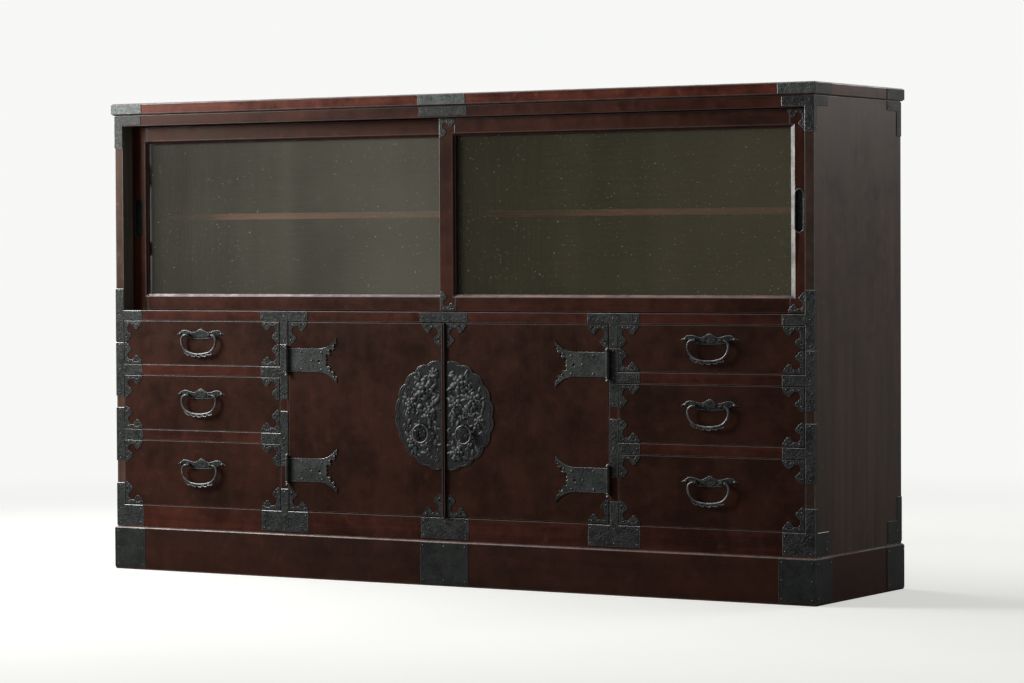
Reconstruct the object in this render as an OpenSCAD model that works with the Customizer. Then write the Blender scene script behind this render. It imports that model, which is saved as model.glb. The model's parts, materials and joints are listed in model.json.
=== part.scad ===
// Sideboard: sliding glass doors over six drawers and a pair of hinged doors, on a plinth.
// X runs to the right, Y to the back and Z up, in millimetres.
// The origin is on the floor, under the middle of the whole piece.

/* [Body] */
// Width across the outer faces of the side boards
body_w = 1789; // [1680:1:1900]
// Depth from the front of the rails to the back edge of the sides
body_d = 416; // [390:1:450]
// Thickness of the side boards and of the two dividers
side_t = 22; // [20:1:26]
// Thickness of the panels nailed in at the back
back_t = 5.5; // [4:0.5:8]
// Width of the rebate that holds the back panels
rebate_w = 10; // [6:1:14]
// Height of the rail under the drawers and doors
bottom_rail_h = 51; // [44:1:60]
// Thickness of that rail from front to back
bottom_rail_t = 22; // [18:1:28]
// Thickness of the floor board of the body
floor_t = 18; // [15:1:24]
// Thickness of the board between the upper and lower parts
mid_t = 23; // [20:1:28]
// Height of the opening for the sliding doors
slide_open_h = 422; // [380:1:460]
// Height of the rail over the sliding doors
top_rail_h = 25; // [22:1:32]
// Depth of that rail, which holds both door tracks
top_rail_d = 62; // [59:1:80]
// Thickness of the board on top
top_t = 27; // [22:1:34]
// How far the top board stands out all round
top_over = 5.5; // [3:0.5:10]
// Easing of the upper edge of the top board
top_ease = 2; // [1:0.5:4]
// Size of the bevel under the edge of the top board
top_nose = 3; // [1:0.5:5]

/* [Plinth] */
// Height of the plinth
base_h = 98; // [80:1:120]
// How far the plinth stands out all round
base_over = 4; // [2:0.5:8]
// Thickness of the plinth boards
base_t = 20; // [16:1:28]
// Rounding of the upper edge of the plinth
base_ease = 2.5; // [1:0.5:3.5]

/* [Drawers] */
// Clear width of each drawer opening
drawer_open_w = 438; // [400:1:470]
// Height of the lowest drawer opening
low_open_h = 150; // [130:1:170]
// Height of the middle drawer opening
middle_open_h = 125; // [115:1:145]
// Height of the highest drawer opening
high_open_h = 101; // [101:1:125]
// Height of the rails between the drawers
rail_h = 24; // [20:1:30]
// Depth of the rails between the drawers
rail_d = 45; // [30:1:60]
// Width of the runners that carry the drawers
runner_w = 20; // [16:1:30]
// Thickness of the runners
runner_t = 12; // [8:1:16]
// Thickness of the drawer fronts
front_t = 20; // [16:1:24]
// Thickness of the sides and back of a drawer
box_t = 12; // [9:1:15]
// Thickness of the bottom of a drawer
box_floor_t = 6; // [4:1:9]
// Height of a drawer bottom over the edge of the drawer sides
box_floor_up = 6; // [4:1:10]
// How much lower the drawer sides are than their opening
box_drop = 14; // [8:1:20]
// Gap round a drawer front
front_gap = 1; // [0.5:0.1:2]
// Gap under a drawer, where it slides on its runners
slide_lift = 0.3; // [0.2:0.05:0.6]

/* [Sliding doors] */
// Thickness of the door frames
slide_t = 20; // [18:1:22]
// How far the front door is set back
slide_back = 12; // [8:1:16]
// Gap between the two doors where they pass
slide_pass = 3; // [2:0.5:5]
// Width of the door stiles
stile_w = 35; // [30:1:42]
// Height of the lower door rail
foot_rail_h = 36.5; // [30:0.5:44]
// Height of the upper door rail
head_rail_h = 38.5; // [30:0.5:46]
// Bevel round the glass
glass_bevel = 5.5; // [2:0.5:8]
// Thickness of the glass
glass_t = 4; // [3:0.5:5]
// How far the glass is behind the face of its frame
glass_back = 11; // [10:0.5:12]
// How far the glass reaches into its frame
glass_bite = 6; // [4:0.5:8]
// Gap over and under a door, beside its tongues
slide_gap = 1.5; // [1:0.1:2.5]
// Thickness of the tongues that run in the tracks
tongue_t = 8; // [6:0.5:10]
// Depth of the lower tracks
low_track = 6; // [4:0.5:8]
// Depth of the upper tracks, deep enough to lift a door out
high_track = 13; // [10:0.5:16]
// Length of the recessed finger pulls
pull_l = 91; // [70:1:110]
// Width of the recessed finger pulls
pull_w = 22; // [18:1:24]
// Depth of the recessed finger pulls
pull_d = 9; // [7:0.5:10]

/* [Hinged doors] */
// Thickness of the door panels
door_t = 20; // [16:1:24]
// Gap round the doors
door_gap = 1.5; // [1.2:0.1:2.5]
// How far the left door reaches past the middle
meeting_x = 5; // [0:0.5:8]
// Width of the batten on the left door
batten_w = 10.5; // [8:0.5:14]
// How far the batten stands out
batten_out = 6; // [4:0.5:8]
// Height of the upper hinges under the top of the opening
hinge_down = 86; // [75:1:95]
// Height of the lower hinges over the foot of the opening
hinge_up = 93; // [85:1:105]
// Length of the hinge barrels
barrel_l = 63; // [60:1:70]
// Outer radius of the hinge barrels
barrel_r = 4.5; // [4:0.1:5]
// Length of the strap of a hinge
strap_l = 130; // [115:1:140]
// Height of the strap of a hinge
strap_h = 52; // [44:1:54]
// Thickness of the straps
strap_t = 2; // [1.5:0.1:2.5]
// Radius of the round iron on the pair of doors
medal_r = 120; // [100:1:135]
// Height of its centre over the middle of the doors
medal_up = 10; // [0:1:20]
// Number of scallops round it
medal_lobes = 20; // [14:1:26]
// Distance of each pull ring from the middle of the piece
ring_x = 55; // [48:1:62]
// Drop of the middle of the rings under the centre of the round iron
ring_down = 40.5; // [34:0.5:48]
// Radius of the pull rings to the middle of their wire
ring_r = 19.5; // [17:0.5:22]
// Radius of the wire of the pull rings
ring_wire = 2; // [1.8:0.1:2.1]

/* [Drawer handles] */
// Distance of the bail's axis from the drawer front
bail_out = 10; // [9:0.5:12]
// Radius of the wire of the bail
bail_wire = 3.1; // [2.8:0.1:3.5]
// Distance from the middle of the handle to its posts
post_x = 31; // [28:0.5:33]
// Height of the bail's axis over the middle of the handle
axis_up = 17.5; // [15:0.5:20]
// Radius of the pins of bails and hinges
pin_r = 2.44; // [2.2:0.02:2.6]
// Radial play of those pins in their holes
pin_play = 0.06; // [0.04:0.01:0.09]

/* [Ironwork] */
// Thickness of the iron plates
plate_t = 1.2; // [1:0.1:1.6]
// Strip of wood left between a plate and the edge it follows
plate_trim = 0.8; // [0.5:0.1:1.5]
// Reach of a plate up or down from the rail that it holds
plate_reach = 49.5; // [40:0.5:50]
// Reach of a plate along a rail from the board that it holds
arm_reach = 52; // [40:1:60]
// Reach of the plates round on to the sides
wrap_reach = 10; // [6:1:16]
// Half the length of the plates on the middle of the front
centre_reach = 61; // [50:1:70]
// Length of the plates at the corners of the top and the plinth
corner_reach = 86; // [70:1:100]
// Length of the same plates along the sides
side_reach = 72; // [60:1:85]
// Length of the scalloped plates at the corners of drawers and doors
leg = 50; // [40:1:54]
// Width of their straight edges, beside their lobes
leg_w = 9; // [7:0.5:11]

/* [Inside] */
// Thickness of the partition behind the sliding doors
partition_t = 20; // [16:1:24]
// Thickness of the upper shelves
shelf_t = 14; // [12:1:20]
// Height of the upper shelves over the middle board
shelf_up = 207; // [180:1:230]
// How far the upper shelves are set back
shelf_back = 165; // [100:1:200]
// Thickness of the shelf in the cupboard
low_shelf_t = 18; // [14:1:22]
// Height of that shelf over the floor board
low_shelf_up = 201; // [170:1:230]
// How far that shelf is set back
low_shelf_back = 45; // [41:1:80]
// Radius of the shelf pegs
peg_r = 4; // [3:0.5:5]
// Length of the shelf pegs that shows
peg_l = 9; // [7:1:12]

/* [Hidden] */
$fn = 48;

frame_red = [0.27, 0.07, 0.05];
panel_brown = [0.17, 0.06, 0.045];
inner_wood = [0.42, 0.24, 0.16];
iron = [0.13, 0.14, 0.15];
clear_glass = [0.55, 0.6, 0.55, 0.4];

left = -1;
right = 1;
low = 0;
middle = 1;
high = 2;

// Line left between glued boards, so that each stays a solid of its own
glue = 0.1;
// Depth past a face that a cut runs, to come out clean
past = 1;

body_half = body_w / 2;
inner_half = body_half - side_t;
divider_out = inner_half - drawer_open_w;
divider_in = divider_out - side_t;
inner_back = body_d - back_t;

deck_z = base_h + bottom_rail_h;
open_h = [low_open_h, middle_open_h, high_open_h];
open_z = [deck_z, deck_z + low_open_h + rail_h, deck_z + low_open_h + middle_open_h + 2 * rail_h];
mid_z = open_z[high] + high_open_h;
mid_top = mid_z + mid_t;
slide_top = mid_top + slide_open_h;
body_top = slide_top + top_rail_h;
top_w = body_w + 2 * top_over;
base_w = body_w + 2 * base_over;

eye_r = bail_wire + 1.5;
reach = bail_out + eye_r;
middle_y = (body_d + top_over - reach) / 2;
bore_r = pin_r + pin_play;

module home() {
    translate([0, -middle_y, 0]) children();
}

module sided(side) {
    mirror([side < 0 ? 1 : 0, 0, 0]) children();
}

module board(x0, x1, y0, y1, z0, z1) {
    translate([x0, y0, z0]) cube([x1 - x0, y1 - y0, z1 - z0]);
}

// A flat shape of X and Z, as thick as t, whose back is at y
module on_face(x, y, z, t) {
    translate([x, y, z]) rotate([90, 0, 0]) linear_extrude(t) children();
}

// A rod along X from x0 to x1
module rod_x(x0, x1, y, z, r) {
    translate([x0, y, z]) rotate([0, 90, 0]) cylinder(h = x1 - x0, r = r);
}

// The section of a slab from a to b, eased above and bevelled below
module slab_section(a, b, h, ease, nose) {
    polygon([
        [a + nose, 0], [b - nose, 0], [b, nose], [b, h - ease],
        [b - ease, h], [a + ease, h], [a, h - ease], [a, nose]
    ]);
}

module moulded_slab(w, y0, y1, z0, h, ease, nose) {
    intersection() {
        translate([-w / 2, 0, z0]) rotate([90, 0, 90])
            linear_extrude(w) slab_section(y0, y1, h, ease, nose);
        translate([0, y1, z0]) rotate([90, 0, 0])
            linear_extrude(y1 - y0) slab_section(-w / 2, w / 2, h, ease, nose);
    }
}

// Body

module top_board() {
    color(frame_red) home()
        moulded_slab(top_w, -top_over, body_d + top_over, body_top, top_t, top_ease, top_nose);
}

module side_board(side) {
    color(frame_red) home() sided(side) difference() {
        board(inner_half, body_half, 0, body_d, base_h, body_top);
        board(inner_half - past, inner_half + rebate_w, inner_back, body_d + past, base_h - past, body_top + past);
    }
}

// The middle of the thickness of each sliding door
front_track = slide_back + slide_t / 2;
back_track = front_track + slide_t + slide_pass;
track_w = tongue_t + 2;

module track(y, z0, z1) {
    board(-inner_half - past, inner_half + past, y - track_w / 2, y + track_w / 2, z0, z1);
}

module top_rail() {
    color(frame_red) home() difference() {
        board(-inner_half, inner_half, 0, top_rail_d, slide_top, body_top);
        track(front_track, slide_top - past, slide_top + high_track);
        track(back_track, slide_top - past, slide_top + high_track);
    }
}

module mid_board() {
    color(frame_red) home() difference() {
        board(-inner_half, inner_half, 0, body_d, mid_z, mid_top);
        track(front_track, mid_top - low_track, mid_top + past);
        track(back_track, mid_top - low_track, mid_top + past);
    }
}

module bottom_rail() {
    color(frame_red) home() board(-inner_half, inner_half, 0, bottom_rail_t, base_h, deck_z);
}

module bottom_board() {
    color(inner_wood) home() board(-inner_half, inner_half, bottom_rail_t, inner_back, deck_z - floor_t, deck_z);
}

module divider(side) {
    color(frame_red) home() sided(side) difference() {
        board(divider_in, divider_out, 0, inner_back, deck_z, mid_z);
        for (z = hinge_zs) leaf(z);
    }
}

module drawer_rails() {
    color(frame_red) home() for (side = [left, right], i = [middle, high])
        sided(side) board(divider_out, inner_half, 0, rail_d, open_z[i] - rail_h, open_z[i]);
}

module drawer_runners() {
    color(inner_wood) home()
        for (side = [left, right], i = [middle, high], x = [divider_out, inner_half - runner_w])
            sided(side) board(x, x + runner_w, rail_d, inner_back, open_z[i] - runner_t, open_z[i]);
}

partition_y = back_track + slide_t / 2 + 5;

module upper_partition() {
    color(inner_wood) home()
        board(-partition_t / 2, partition_t / 2, max(partition_y, top_rail_d), inner_back, mid_top, body_top);
}

shelf_z = mid_top + shelf_up;
low_shelf_z = deck_z + low_shelf_up;
shelf_end = 0.5;

module shelves() {
    color(inner_wood) home() {
        for (side = [left, right]) sided(side)
            board(partition_t / 2 + shelf_end, inner_half - shelf_end, shelf_back, inner_back - shelf_end,
                shelf_z, shelf_z + shelf_t);
        board(-divider_in + shelf_end, divider_in - shelf_end, low_shelf_back, inner_back - shelf_end,
            low_shelf_z, low_shelf_z + low_shelf_t);
    }
}

peg_in = 40;

module shelf_pegs() {
    color(iron) home() for (side = [left, right]) sided(side) {
        for (y = [shelf_back + peg_in, inner_back - peg_in]) {
            rod_x(partition_t / 2, partition_t / 2 + peg_l, y, shelf_z - peg_r, peg_r);
            rod_x(inner_half - peg_l, inner_half, y, shelf_z - peg_r, peg_r);
        }
        for (y = [low_shelf_back + peg_in, inner_back - peg_in])
            rod_x(divider_in - peg_l, divider_in, y, low_shelf_z - peg_r, peg_r);
    }
}

module back_panels() {
    color(inner_wood) home() for (z = [[base_h, mid_z], [mid_top, body_top]])
        board(-inner_half - rebate_w, inner_half + rebate_w, inner_back, body_d, z[0], z[1]);
}

catch_x = 25;
catch_l = 40;
catch_h = 16;

module door_catches() {
    color(iron) home() for (side = [left, right]) sided(side)
        board(catch_x, catch_x + catch_l, door_t + glue, door_t + catch_h, mid_z - catch_h, mid_z);
}

// Plinth

plinth_in = base_t - base_over;

module plinth_ring() {
    difference() {
        moulded_slab(base_w, -base_over, body_d + base_over, 0, base_h, base_ease, 1);
        board(base_t - base_w / 2, base_w / 2 - base_t, plinth_in, body_d - plinth_in, -past, base_h + past);
    }
}

module plinth() {
    parts = [
        [-base_over, plinth_in - glue],
        [plinth_in, body_d - plinth_in],
        [body_d - plinth_in + glue, body_d + base_over]
    ];
    color(frame_red) home() for (p = parts) intersection() {
        plinth_ring();
        board(-base_w / 2, base_w / 2, p[0], p[1], 0, base_h);
    }
}

// Ironwork on the body

// A plate on the front face of a board at y
module face_plate(x0, x1, z0, z1, y = 0) {
    board(x0, x1, y - plate_t, y, z0, z1);
}

// A plate on the edge of a side board, turned round on to the side as far as back
module stile_plate(z0, z1, back) {
    face_plate(inner_half + plate_trim, body_half + plate_t, z0, z1);
    board(body_half, body_half + plate_t, -plate_t, back, z0, z1);
}

arm_in = inner_half - arm_reach;
top_arm_h = top_rail_h - 5;
top_arm_down = 73;
rear_reach = 69;
rear_arm = 22;

module frame_plates() {
    color(iron) home() {
        for (side = [left, right]) sided(side) {
            // Corners of the top rail
            stile_plate(body_top - 2 - top_arm_down, body_top - 2, 12);
            face_plate(arm_in, body_half, body_top - 2 - top_arm_h, body_top - 2);
            board(body_half, body_half + plate_t, 0, 65, body_top - 2 - top_arm_h, body_top - 2);
            // Ends of the middle board
            stile_plate(mid_z - plate_reach, mid_top + plate_reach, wrap_reach);
            face_plate(arm_in, body_half, mid_z + plate_trim, mid_top - plate_trim);
            // Ends of the drawer rails
            for (i = [middle, high]) {
                stile_plate(open_z[i] - rail_h - plate_reach, open_z[i] + plate_reach, wrap_reach);
                face_plate(arm_in, body_half, open_z[i] - rail_h + plate_trim, open_z[i] - plate_trim);
                divider_plate(open_z[i] - rail_h - plate_reach, open_z[i] + plate_reach);
                face_plate(divider_out - side_t / 2, divider_out + arm_reach,
                    open_z[i] - rail_h + plate_trim, open_z[i] - plate_trim);
            }
            // Feet of the side boards
            stile_plate(base_h + 2, deck_z + plate_reach, wrap_reach);
            face_plate(arm_in, body_half, base_h + 2, deck_z - plate_trim);
            board(body_half, body_half + plate_t, 0, 62, base_h + 5, deck_z);
            // Heads and feet of the dividers
            divider_plate(mid_z - plate_reach, mid_z + mid_t / 2);
            face_plate(divider_in - arm_reach, divider_out + arm_reach,
                mid_z + plate_trim, mid_top - plate_trim);
            divider_plate(deck_z - 10, deck_z + plate_reach);
            face_plate(divider_in - arm_reach, divider_out + arm_reach, base_h + 5, deck_z - plate_trim);
            // Back corners of the sides
            rear_plate(body_top - 2 - top_arm_h, body_top - 2, body_top - 2 - top_arm_down, body_top - 2);
            rear_plate(base_h + 5, deck_z, base_h + 5, deck_z + plate_reach);
        }
        // Middle of the front
        face_plate(-centre_reach, centre_reach, body_top - 2 - top_arm_h, body_top - 2);
        face_plate(-centre_reach, centre_reach, mid_z + plate_trim, mid_top - plate_trim);
        face_plate(-centre_reach, centre_reach, base_h + 5, deck_z - plate_trim);
    }
}

module divider_plate(z0, z1) {
    face_plate(divider_in + leaf_t + plate_trim / 4, divider_out - plate_trim, z0, z1);
}

module rear_plate(z0, z1, arm_z0, arm_z1) {
    board(body_half, body_half + plate_t, body_d - rear_reach, body_d, z0, z1);
    board(body_half, body_half + plate_t, body_d - rear_arm, body_d, arm_z0, arm_z1);
}

// Plates round the edge of a slab that stands out by over
module edge_plates(over, z0, z1) {
    half = body_half + over;
    for (side = [left, right]) sided(side) {
        board(half - corner_reach, half + plate_t, -over - plate_t, -over, z0, z1);
        board(half, half + plate_t, -over - plate_t, side_reach, z0, z1);
        board(half, half + plate_t, body_d + over - corner_reach, body_d + over, z0, z1);
    }
    face_plate(-centre_reach, centre_reach, z0, z1, -over);
}

module top_plates() {
    color(iron) home() edge_plates(top_over, body_top + top_nose, body_top + top_t - top_ease - 0.5);
}

module plinth_plates() {
    color(iron) home() edge_plates(base_over, 4, base_h - base_ease - 0.5);
}

// Hinges

hinge_zs = [deck_z + hinge_up, mid_z - hinge_down];
hinge_y = -plate_t - 0.3 - barrel_r;
knuckle_l = 5;
knuckle_gap = 0.3;
leaf_t = 1.2;
leaf_d = 22;

// The leaf that is let into a divider
module leaf(z) {
    board(divider_in, divider_in + leaf_t, 0, leaf_d, z - barrel_l / 2, z + barrel_l / 2);
}

module hinge_leaves() {
    color(iron) home() for (side = [left, right], z = hinge_zs) sided(side) {
        leaf(z);
        translate([divider_in, hinge_y, z - barrel_l / 2]) cylinder(h = barrel_l, r = pin_r);
        for (end = [z - barrel_l / 2, z + barrel_l / 2 - knuckle_l]) {
            translate([divider_in, hinge_y, end]) cylinder(h = knuckle_l, r = barrel_r);
            board(divider_in, divider_in + leaf_t, hinge_y, glue, end, end + knuckle_l);
        }
    }
}

flare_from = 0.62 * strap_l;
flare_v = 24;
flare_r = (pow(strap_l - flare_from, 2) + pow(flare_v, 2)) / (2 * flare_v);
notch_from = 0.77 * strap_l;
notch_v = 34;
bites = 3;

// One strap, lying along X from the barrel, with a forked and scalloped tail
module strap_outline() {
    half = strap_h / 2;
    difference() {
        translate([0, -half - flare_v]) square([strap_l, strap_h + 2 * flare_v]);
        for (m = [-1, 1]) {
            translate([-past, m > 0 ? half : -half - flare_v - past])
                square([flare_from + past, flare_v + past]);
            translate([flare_from, m * (half + flare_r)]) circle(flare_r, $fn = 96);
            for (k = [0 : bites - 1]) {
                along = (k + 0.8) / bites;
                translate([notch_from + along * (strap_l - notch_from) - 2, m * along * notch_v]) circle(5);
            }
        }
        polygon([[notch_from, 0], [strap_l + past, notch_v], [strap_l + past, -notch_v]]);
        translate([0.64 * strap_l, -2]) circle(3.4);
    }
}

strap_from = divider_in - door_gap;

// The straps, knuckles and corner plates of one door, whose meeting edge is at x = edge
module door_iron(side, edge) {
    color(iron) home() sided(side) {
        for (z = hinge_zs) difference() {
            knuckle_z = z - barrel_l / 2 + knuckle_l + knuckle_gap;
            knuckle_h = barrel_l - 2 * (knuckle_l + knuckle_gap);
            union() {
                mirror([1, 0, 0]) on_face(-strap_from, 0, z, strap_t) strap_outline();
                translate([divider_in, hinge_y, knuckle_z]) cylinder(h = knuckle_h, r = barrel_r);
                board(divider_in - barrel_r, strap_from, hinge_y, 0, z - strap_h / 2, z + strap_h / 2);
            }
            translate([divider_in, hinge_y, knuckle_z - past]) cylinder(h = knuckle_h + 2 * past, r = bore_r);
        }
        for (sz = [-1, 1]) {
            corner_z = sz > 0 ? deck_z + door_gap + plate_trim : mid_z - door_gap - plate_trim;
            corner_plate(edge + plate_trim, corner_z, 1, sz, 0, leg);
            corner_plate(strap_from - plate_trim, corner_z, -1, sz, 0, leg);
        }
    }
}

// The lobe on each leg of a corner plate that is drawn_leg long: centres and radii of its scallops
drawn_leg = 50;
scallops = [[45.2, 4, 4.8], [41.5, 9.2, 5], [35, 13.6, 6.4], [29.2, 9, 4.6], [11, 8.6, 3.2]];

// A corner plate's outline in the first quadrant
module corner_outline(size) {
    intersection() {
        square(size);
        scale(size / drawn_leg) for (k = [0, 1]) rotate(k * 90) mirror([0, k, 0]) {
            for (s = scallops) translate([s[0], s[1]]) circle(s[2]);
            square([46, leg_w / 2]);
            square([30, leg_w]);
        }
    }
}

module corner_plate(x, z, sx, sz, y, size) {
    translate([x, y, z]) mirror([sx < 0 ? 1 : 0, 0, 0]) mirror([0, 0, sz < 0 ? 1 : 0])
        on_face(0, 0, 0, plate_t) corner_outline(size);
}

// Hinged doors

right_meeting_x = meeting_x + door_gap;

module left_door_panel() {
    color(panel_brown) home()
        board(-divider_in + door_gap, meeting_x, 0, door_t, deck_z + door_gap, mid_z - door_gap);
}

module right_door_panel() {
    color(panel_brown) home()
        board(right_meeting_x, divider_in - door_gap, 0, door_t, deck_z + door_gap, mid_z - door_gap);
}

module meeting_batten() {
    bevel = batten_out / 2;
    from = meeting_x - batten_w;
    color(panel_brown) home() translate([0, 0, deck_z + door_gap])
        linear_extrude(mid_z - deck_z - 2 * door_gap) polygon([
            [from, 0], [from, -bevel], [from + bevel, -batten_out], [meeting_x - 1, -batten_out],
            [meeting_x, 1 - batten_out], [meeting_x, 0]
        ]);
}

medal_z = (deck_z + mid_z) / 2 + medal_up;
medal_t = 2;
rim_t = 3.4;
rim_w = 4;
boss_t = 5;
lobe_r = medal_r * 0.235;
ring_z = medal_z - ring_down;
ring_axis_z = ring_z + ring_r;
ring_out = bail_out + 0.5;
lug_r = 4;
lug_l = 6;
ring_bore = ring_wire + 0.5;

// The scalloped disc, made smaller all round by inset
module medal_outline(inset) {
    circle(medal_r - lobe_r);
    for (k = [0 : medal_lobes - 1]) rotate((k + 0.5) * 360 / medal_lobes)
        translate([medal_r - lobe_r, 0]) circle(lobe_r - inset);
}

module flower(r) {
    for (k = [0 : 4]) rotate(k * 72) translate([r * 0.55, 0]) circle(r * 0.45);
}

// Half of the round iron, from its straight edge at x = edge outwards
module medallion(side, edge) {
    centre_x = edge + 0.5;
    color(iron) home() sided(side) intersection() {
        difference() {
            union() {
                on_face(centre_x, 0, medal_z, medal_t) medal_outline(0);
                on_face(centre_x, 0, medal_z, rim_t) difference() {
                    medal_outline(0);
                    medal_outline(rim_w);
                }
                for (a = [-64 : 32 : 64])
                    on_face(centre_x + 84 * cos(a), 0, medal_z + 84 * sin(a), boss_t) flower(15);
                on_face(centre_x + 50 * cos(28), 0, medal_z + 50 * sin(28), boss_t) flower(17);
                on_face(ring_x, 0, ring_z, boss_t - 1) flower(9);
                rod_x(ring_x - lug_l / 2, ring_x + lug_l / 2, -ring_out, ring_axis_z, lug_r);
                board(ring_x - lug_l / 2, ring_x + lug_l / 2, -ring_out, 0, ring_axis_z - 3, ring_axis_z + 3);
            }
            rod_x(ring_x - lug_l, ring_x + lug_l, -ring_out, ring_axis_z, ring_bore);
        }
        board(edge, medal_r * 2, -ring_out - lug_r - past, 0, medal_z - medal_r, medal_z + medal_r);
    }
}

module ring(side) {
    color(iron) home() sided(side)
        translate([ring_x, -ring_out, ring_z]) rotate([90, 0, 0])
            rotate_extrude() translate([ring_r, 0]) circle(ring_wire);
}

// Drawers

front_w = drawer_open_w - 2 * front_gap;
drawer_x = inner_half - drawer_open_w / 2;
box_back = inner_back - 1;

module drawer_front(side, i) {
    color(panel_brown) home() sided(side)
        board(drawer_x - front_w / 2, drawer_x + front_w / 2, 0, front_t,
            open_z[i] + front_gap, open_z[i] + open_h[i] - front_gap);
}

module drawer_box(side, i) {
    foot = open_z[i] + slide_lift;
    brim = open_z[i] + open_h[i] - box_drop;
    from = front_t + glue;
    wall_in = front_w / 2 - box_t;
    color(inner_wood) home() sided(side) translate([drawer_x, 0, 0]) {
        for (m = [-1, 1]) sided(m) board(wall_in, front_w / 2, from, box_back, foot, brim);
        board(glue - wall_in, wall_in - glue, box_back - box_t, box_back, foot, brim);
        board(glue - wall_in, wall_in - glue, from, box_back - box_t - glue,
            foot + box_floor_up, foot + box_floor_up + box_floor_t);
    }
}

handle_rise = [3.5, 1, 0.5];
function handle_z(i) = open_z[i] + open_h[i] / 2 + handle_rise[i];
post_w = 6;

// The right half of the handle plate, from its crest round its wing to the middle of its foot
plate_half = [
    [0, 33], [4, 31.5], [8, 28.5], [14, 25.5], [20, 23.5], [28, 25], [38, 28], [47, 28.8], [54, 27],
    [60, 22.5], [69, 18], [61, 17.5], [54, 19], [47, 15], [38, 12.5], [26, 9], [0, 8]
];

module handle_outline() {
    last = len(plate_half) - 1;
    polygon(concat(plate_half, [for (k = [last - 1 : -1 : 1]) [-plate_half[k][0], plate_half[k][1]]]));
}

module drawer_iron(side, i) {
    color(iron) home() sided(side) translate([drawer_x, 0, 0]) {
        difference() {
            union() {
                on_face(0, 0, handle_z(i), plate_t) handle_outline();
                for (m = [-1, 1]) sided(m) {
                    rod_x(post_x - post_w / 2, post_x + post_w / 2, -bail_out, handle_z(i) + axis_up, eye_r);
                    translate([post_x, 0, handle_z(i) + axis_up]) rotate([90, 0, 0])
                        cylinder(h = bail_out, r = post_w / 2 - 0.2);
                }
            }
            rod_x(-post_x - post_w, post_x + post_w, -bail_out, handle_z(i) + axis_up, bore_r);
        }
        for (sx = [-1, 1], sz = [-1, 1])
            corner_plate(-sx * (front_w / 2 - plate_trim),
                sz > 0 ? open_z[i] + front_gap + plate_trim : open_z[i] + open_h[i] - front_gap - plate_trim,
                sx, sz, 0, min(leg, open_h[i] / 2 - front_gap - 2 * plate_trim));
    }
}

shoulder_x = post_x + 5;
shoulder_r = 12;
flank_r = 29;
flank_turn = 75;
flank_x = shoulder_x + shoulder_r - flank_r;
belly_r = (flank_x + flank_r * cos(flank_turn)) / cos(flank_turn);
belly_z = -shoulder_r + (belly_r - flank_r) * sin(flank_turn);

// The turned-up end of the bail, between its posts
curl_x = post_x - post_w / 2 - 0.5;
curl_l = 4;

// Points on an arc in the plane of X and Z, between two angles from +X towards +Z
function arc_points(x, z, r, from, to, n) =
    [for (k = [0 : n]) let (a = from + (to - from) * k / n) [x + r * cos(a), z + r * sin(a)]];

// The right half of the bail's middle line, from its post down to the middle of its belly
half_line = concat(
    arc_points(shoulder_x, -shoulder_r, shoulder_r, 90, 10, 6),
    arc_points(flank_x, -shoulder_r, flank_r, 0, 10 - flank_turn, 8),
    arc_points(0, belly_z, belly_r, -flank_turn, -90, 4)
);
bail_line = concat([for (p = half_line) [-p[0], p[1]]], [for (k = [len(half_line) - 2 : -1 : 0]) half_line[k]]);

// A round wire of radius r along points of the plane of X and Z, cut square to X at both ends
module wire(points, r, sides = 12) {
    last = len(points) - 1;
    dir = [for (k = [0 : last]) let (v = points[min(k + 1, last)] - points[max(k - 1, 0)])
        k == 0 || k == last ? [sign(v[0]), 0] : v / norm(v)];
    ring = [for (k = [0 : last], j = [0 : sides - 1]) let (a = j * 360 / sides)
        [points[k][0] - dir[k][1] * r * cos(a), r * sin(a), points[k][1] + dir[k][0] * r * cos(a)]];
    polyhedron(ring, concat(
        [[for (j = [sides - 1 : -1 : 0]) j]],
        [for (k = [0 : last - 1], j = [0 : sides - 1]) let (i = k * sides, n = (j + 1) % sides)
            [i + j, i + n, i + sides + n, i + sides + j]],
        [[for (j = [0 : sides - 1]) last * sides + j]]
    ));
}

module drawer_bail(side, i) {
    color(iron) home() translate([side * drawer_x, -bail_out, handle_z(i) + axis_up]) {
        wire(bail_line, bail_wire);
        for (m = [-1, 1]) sided(m) {
            rod_x(curl_x, shoulder_x + 2, 0, 0, pin_r);
            rod_x(curl_x - curl_l, curl_x, 0, 0, bail_wire);
            translate([curl_x - curl_l, 0, 0]) rotate([0, -90, 0])
                cylinder(h = bail_wire / 2, r1 = bail_wire, r2 = bail_wire / 2);
        }
    }
}

// Sliding doors

// Gap beside a door that is pushed home
slide_side = 0.5;
door_w = inner_half + stile_w / 2 - slide_side;
slide_z0 = mid_top + slide_gap;
slide_z1 = slide_top - slide_gap;
pane_z0 = slide_z0 + foot_rail_h;
pane_z1 = slide_z1 - head_rail_h;
pull_z = (slide_z0 + slide_z1) / 2;
pull_wall = 1.2;

// A slot of length l and width w, standing along Z, as thick as t from its back at y
module slot(x, y, z, l, w, t) {
    on_face(x, y, z, t) union() {
        square([w, l - w], center = true);
        for (m = [-1, 1]) translate([0, m * (l - w) / 2]) circle(w / 2);
    }
}

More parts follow.
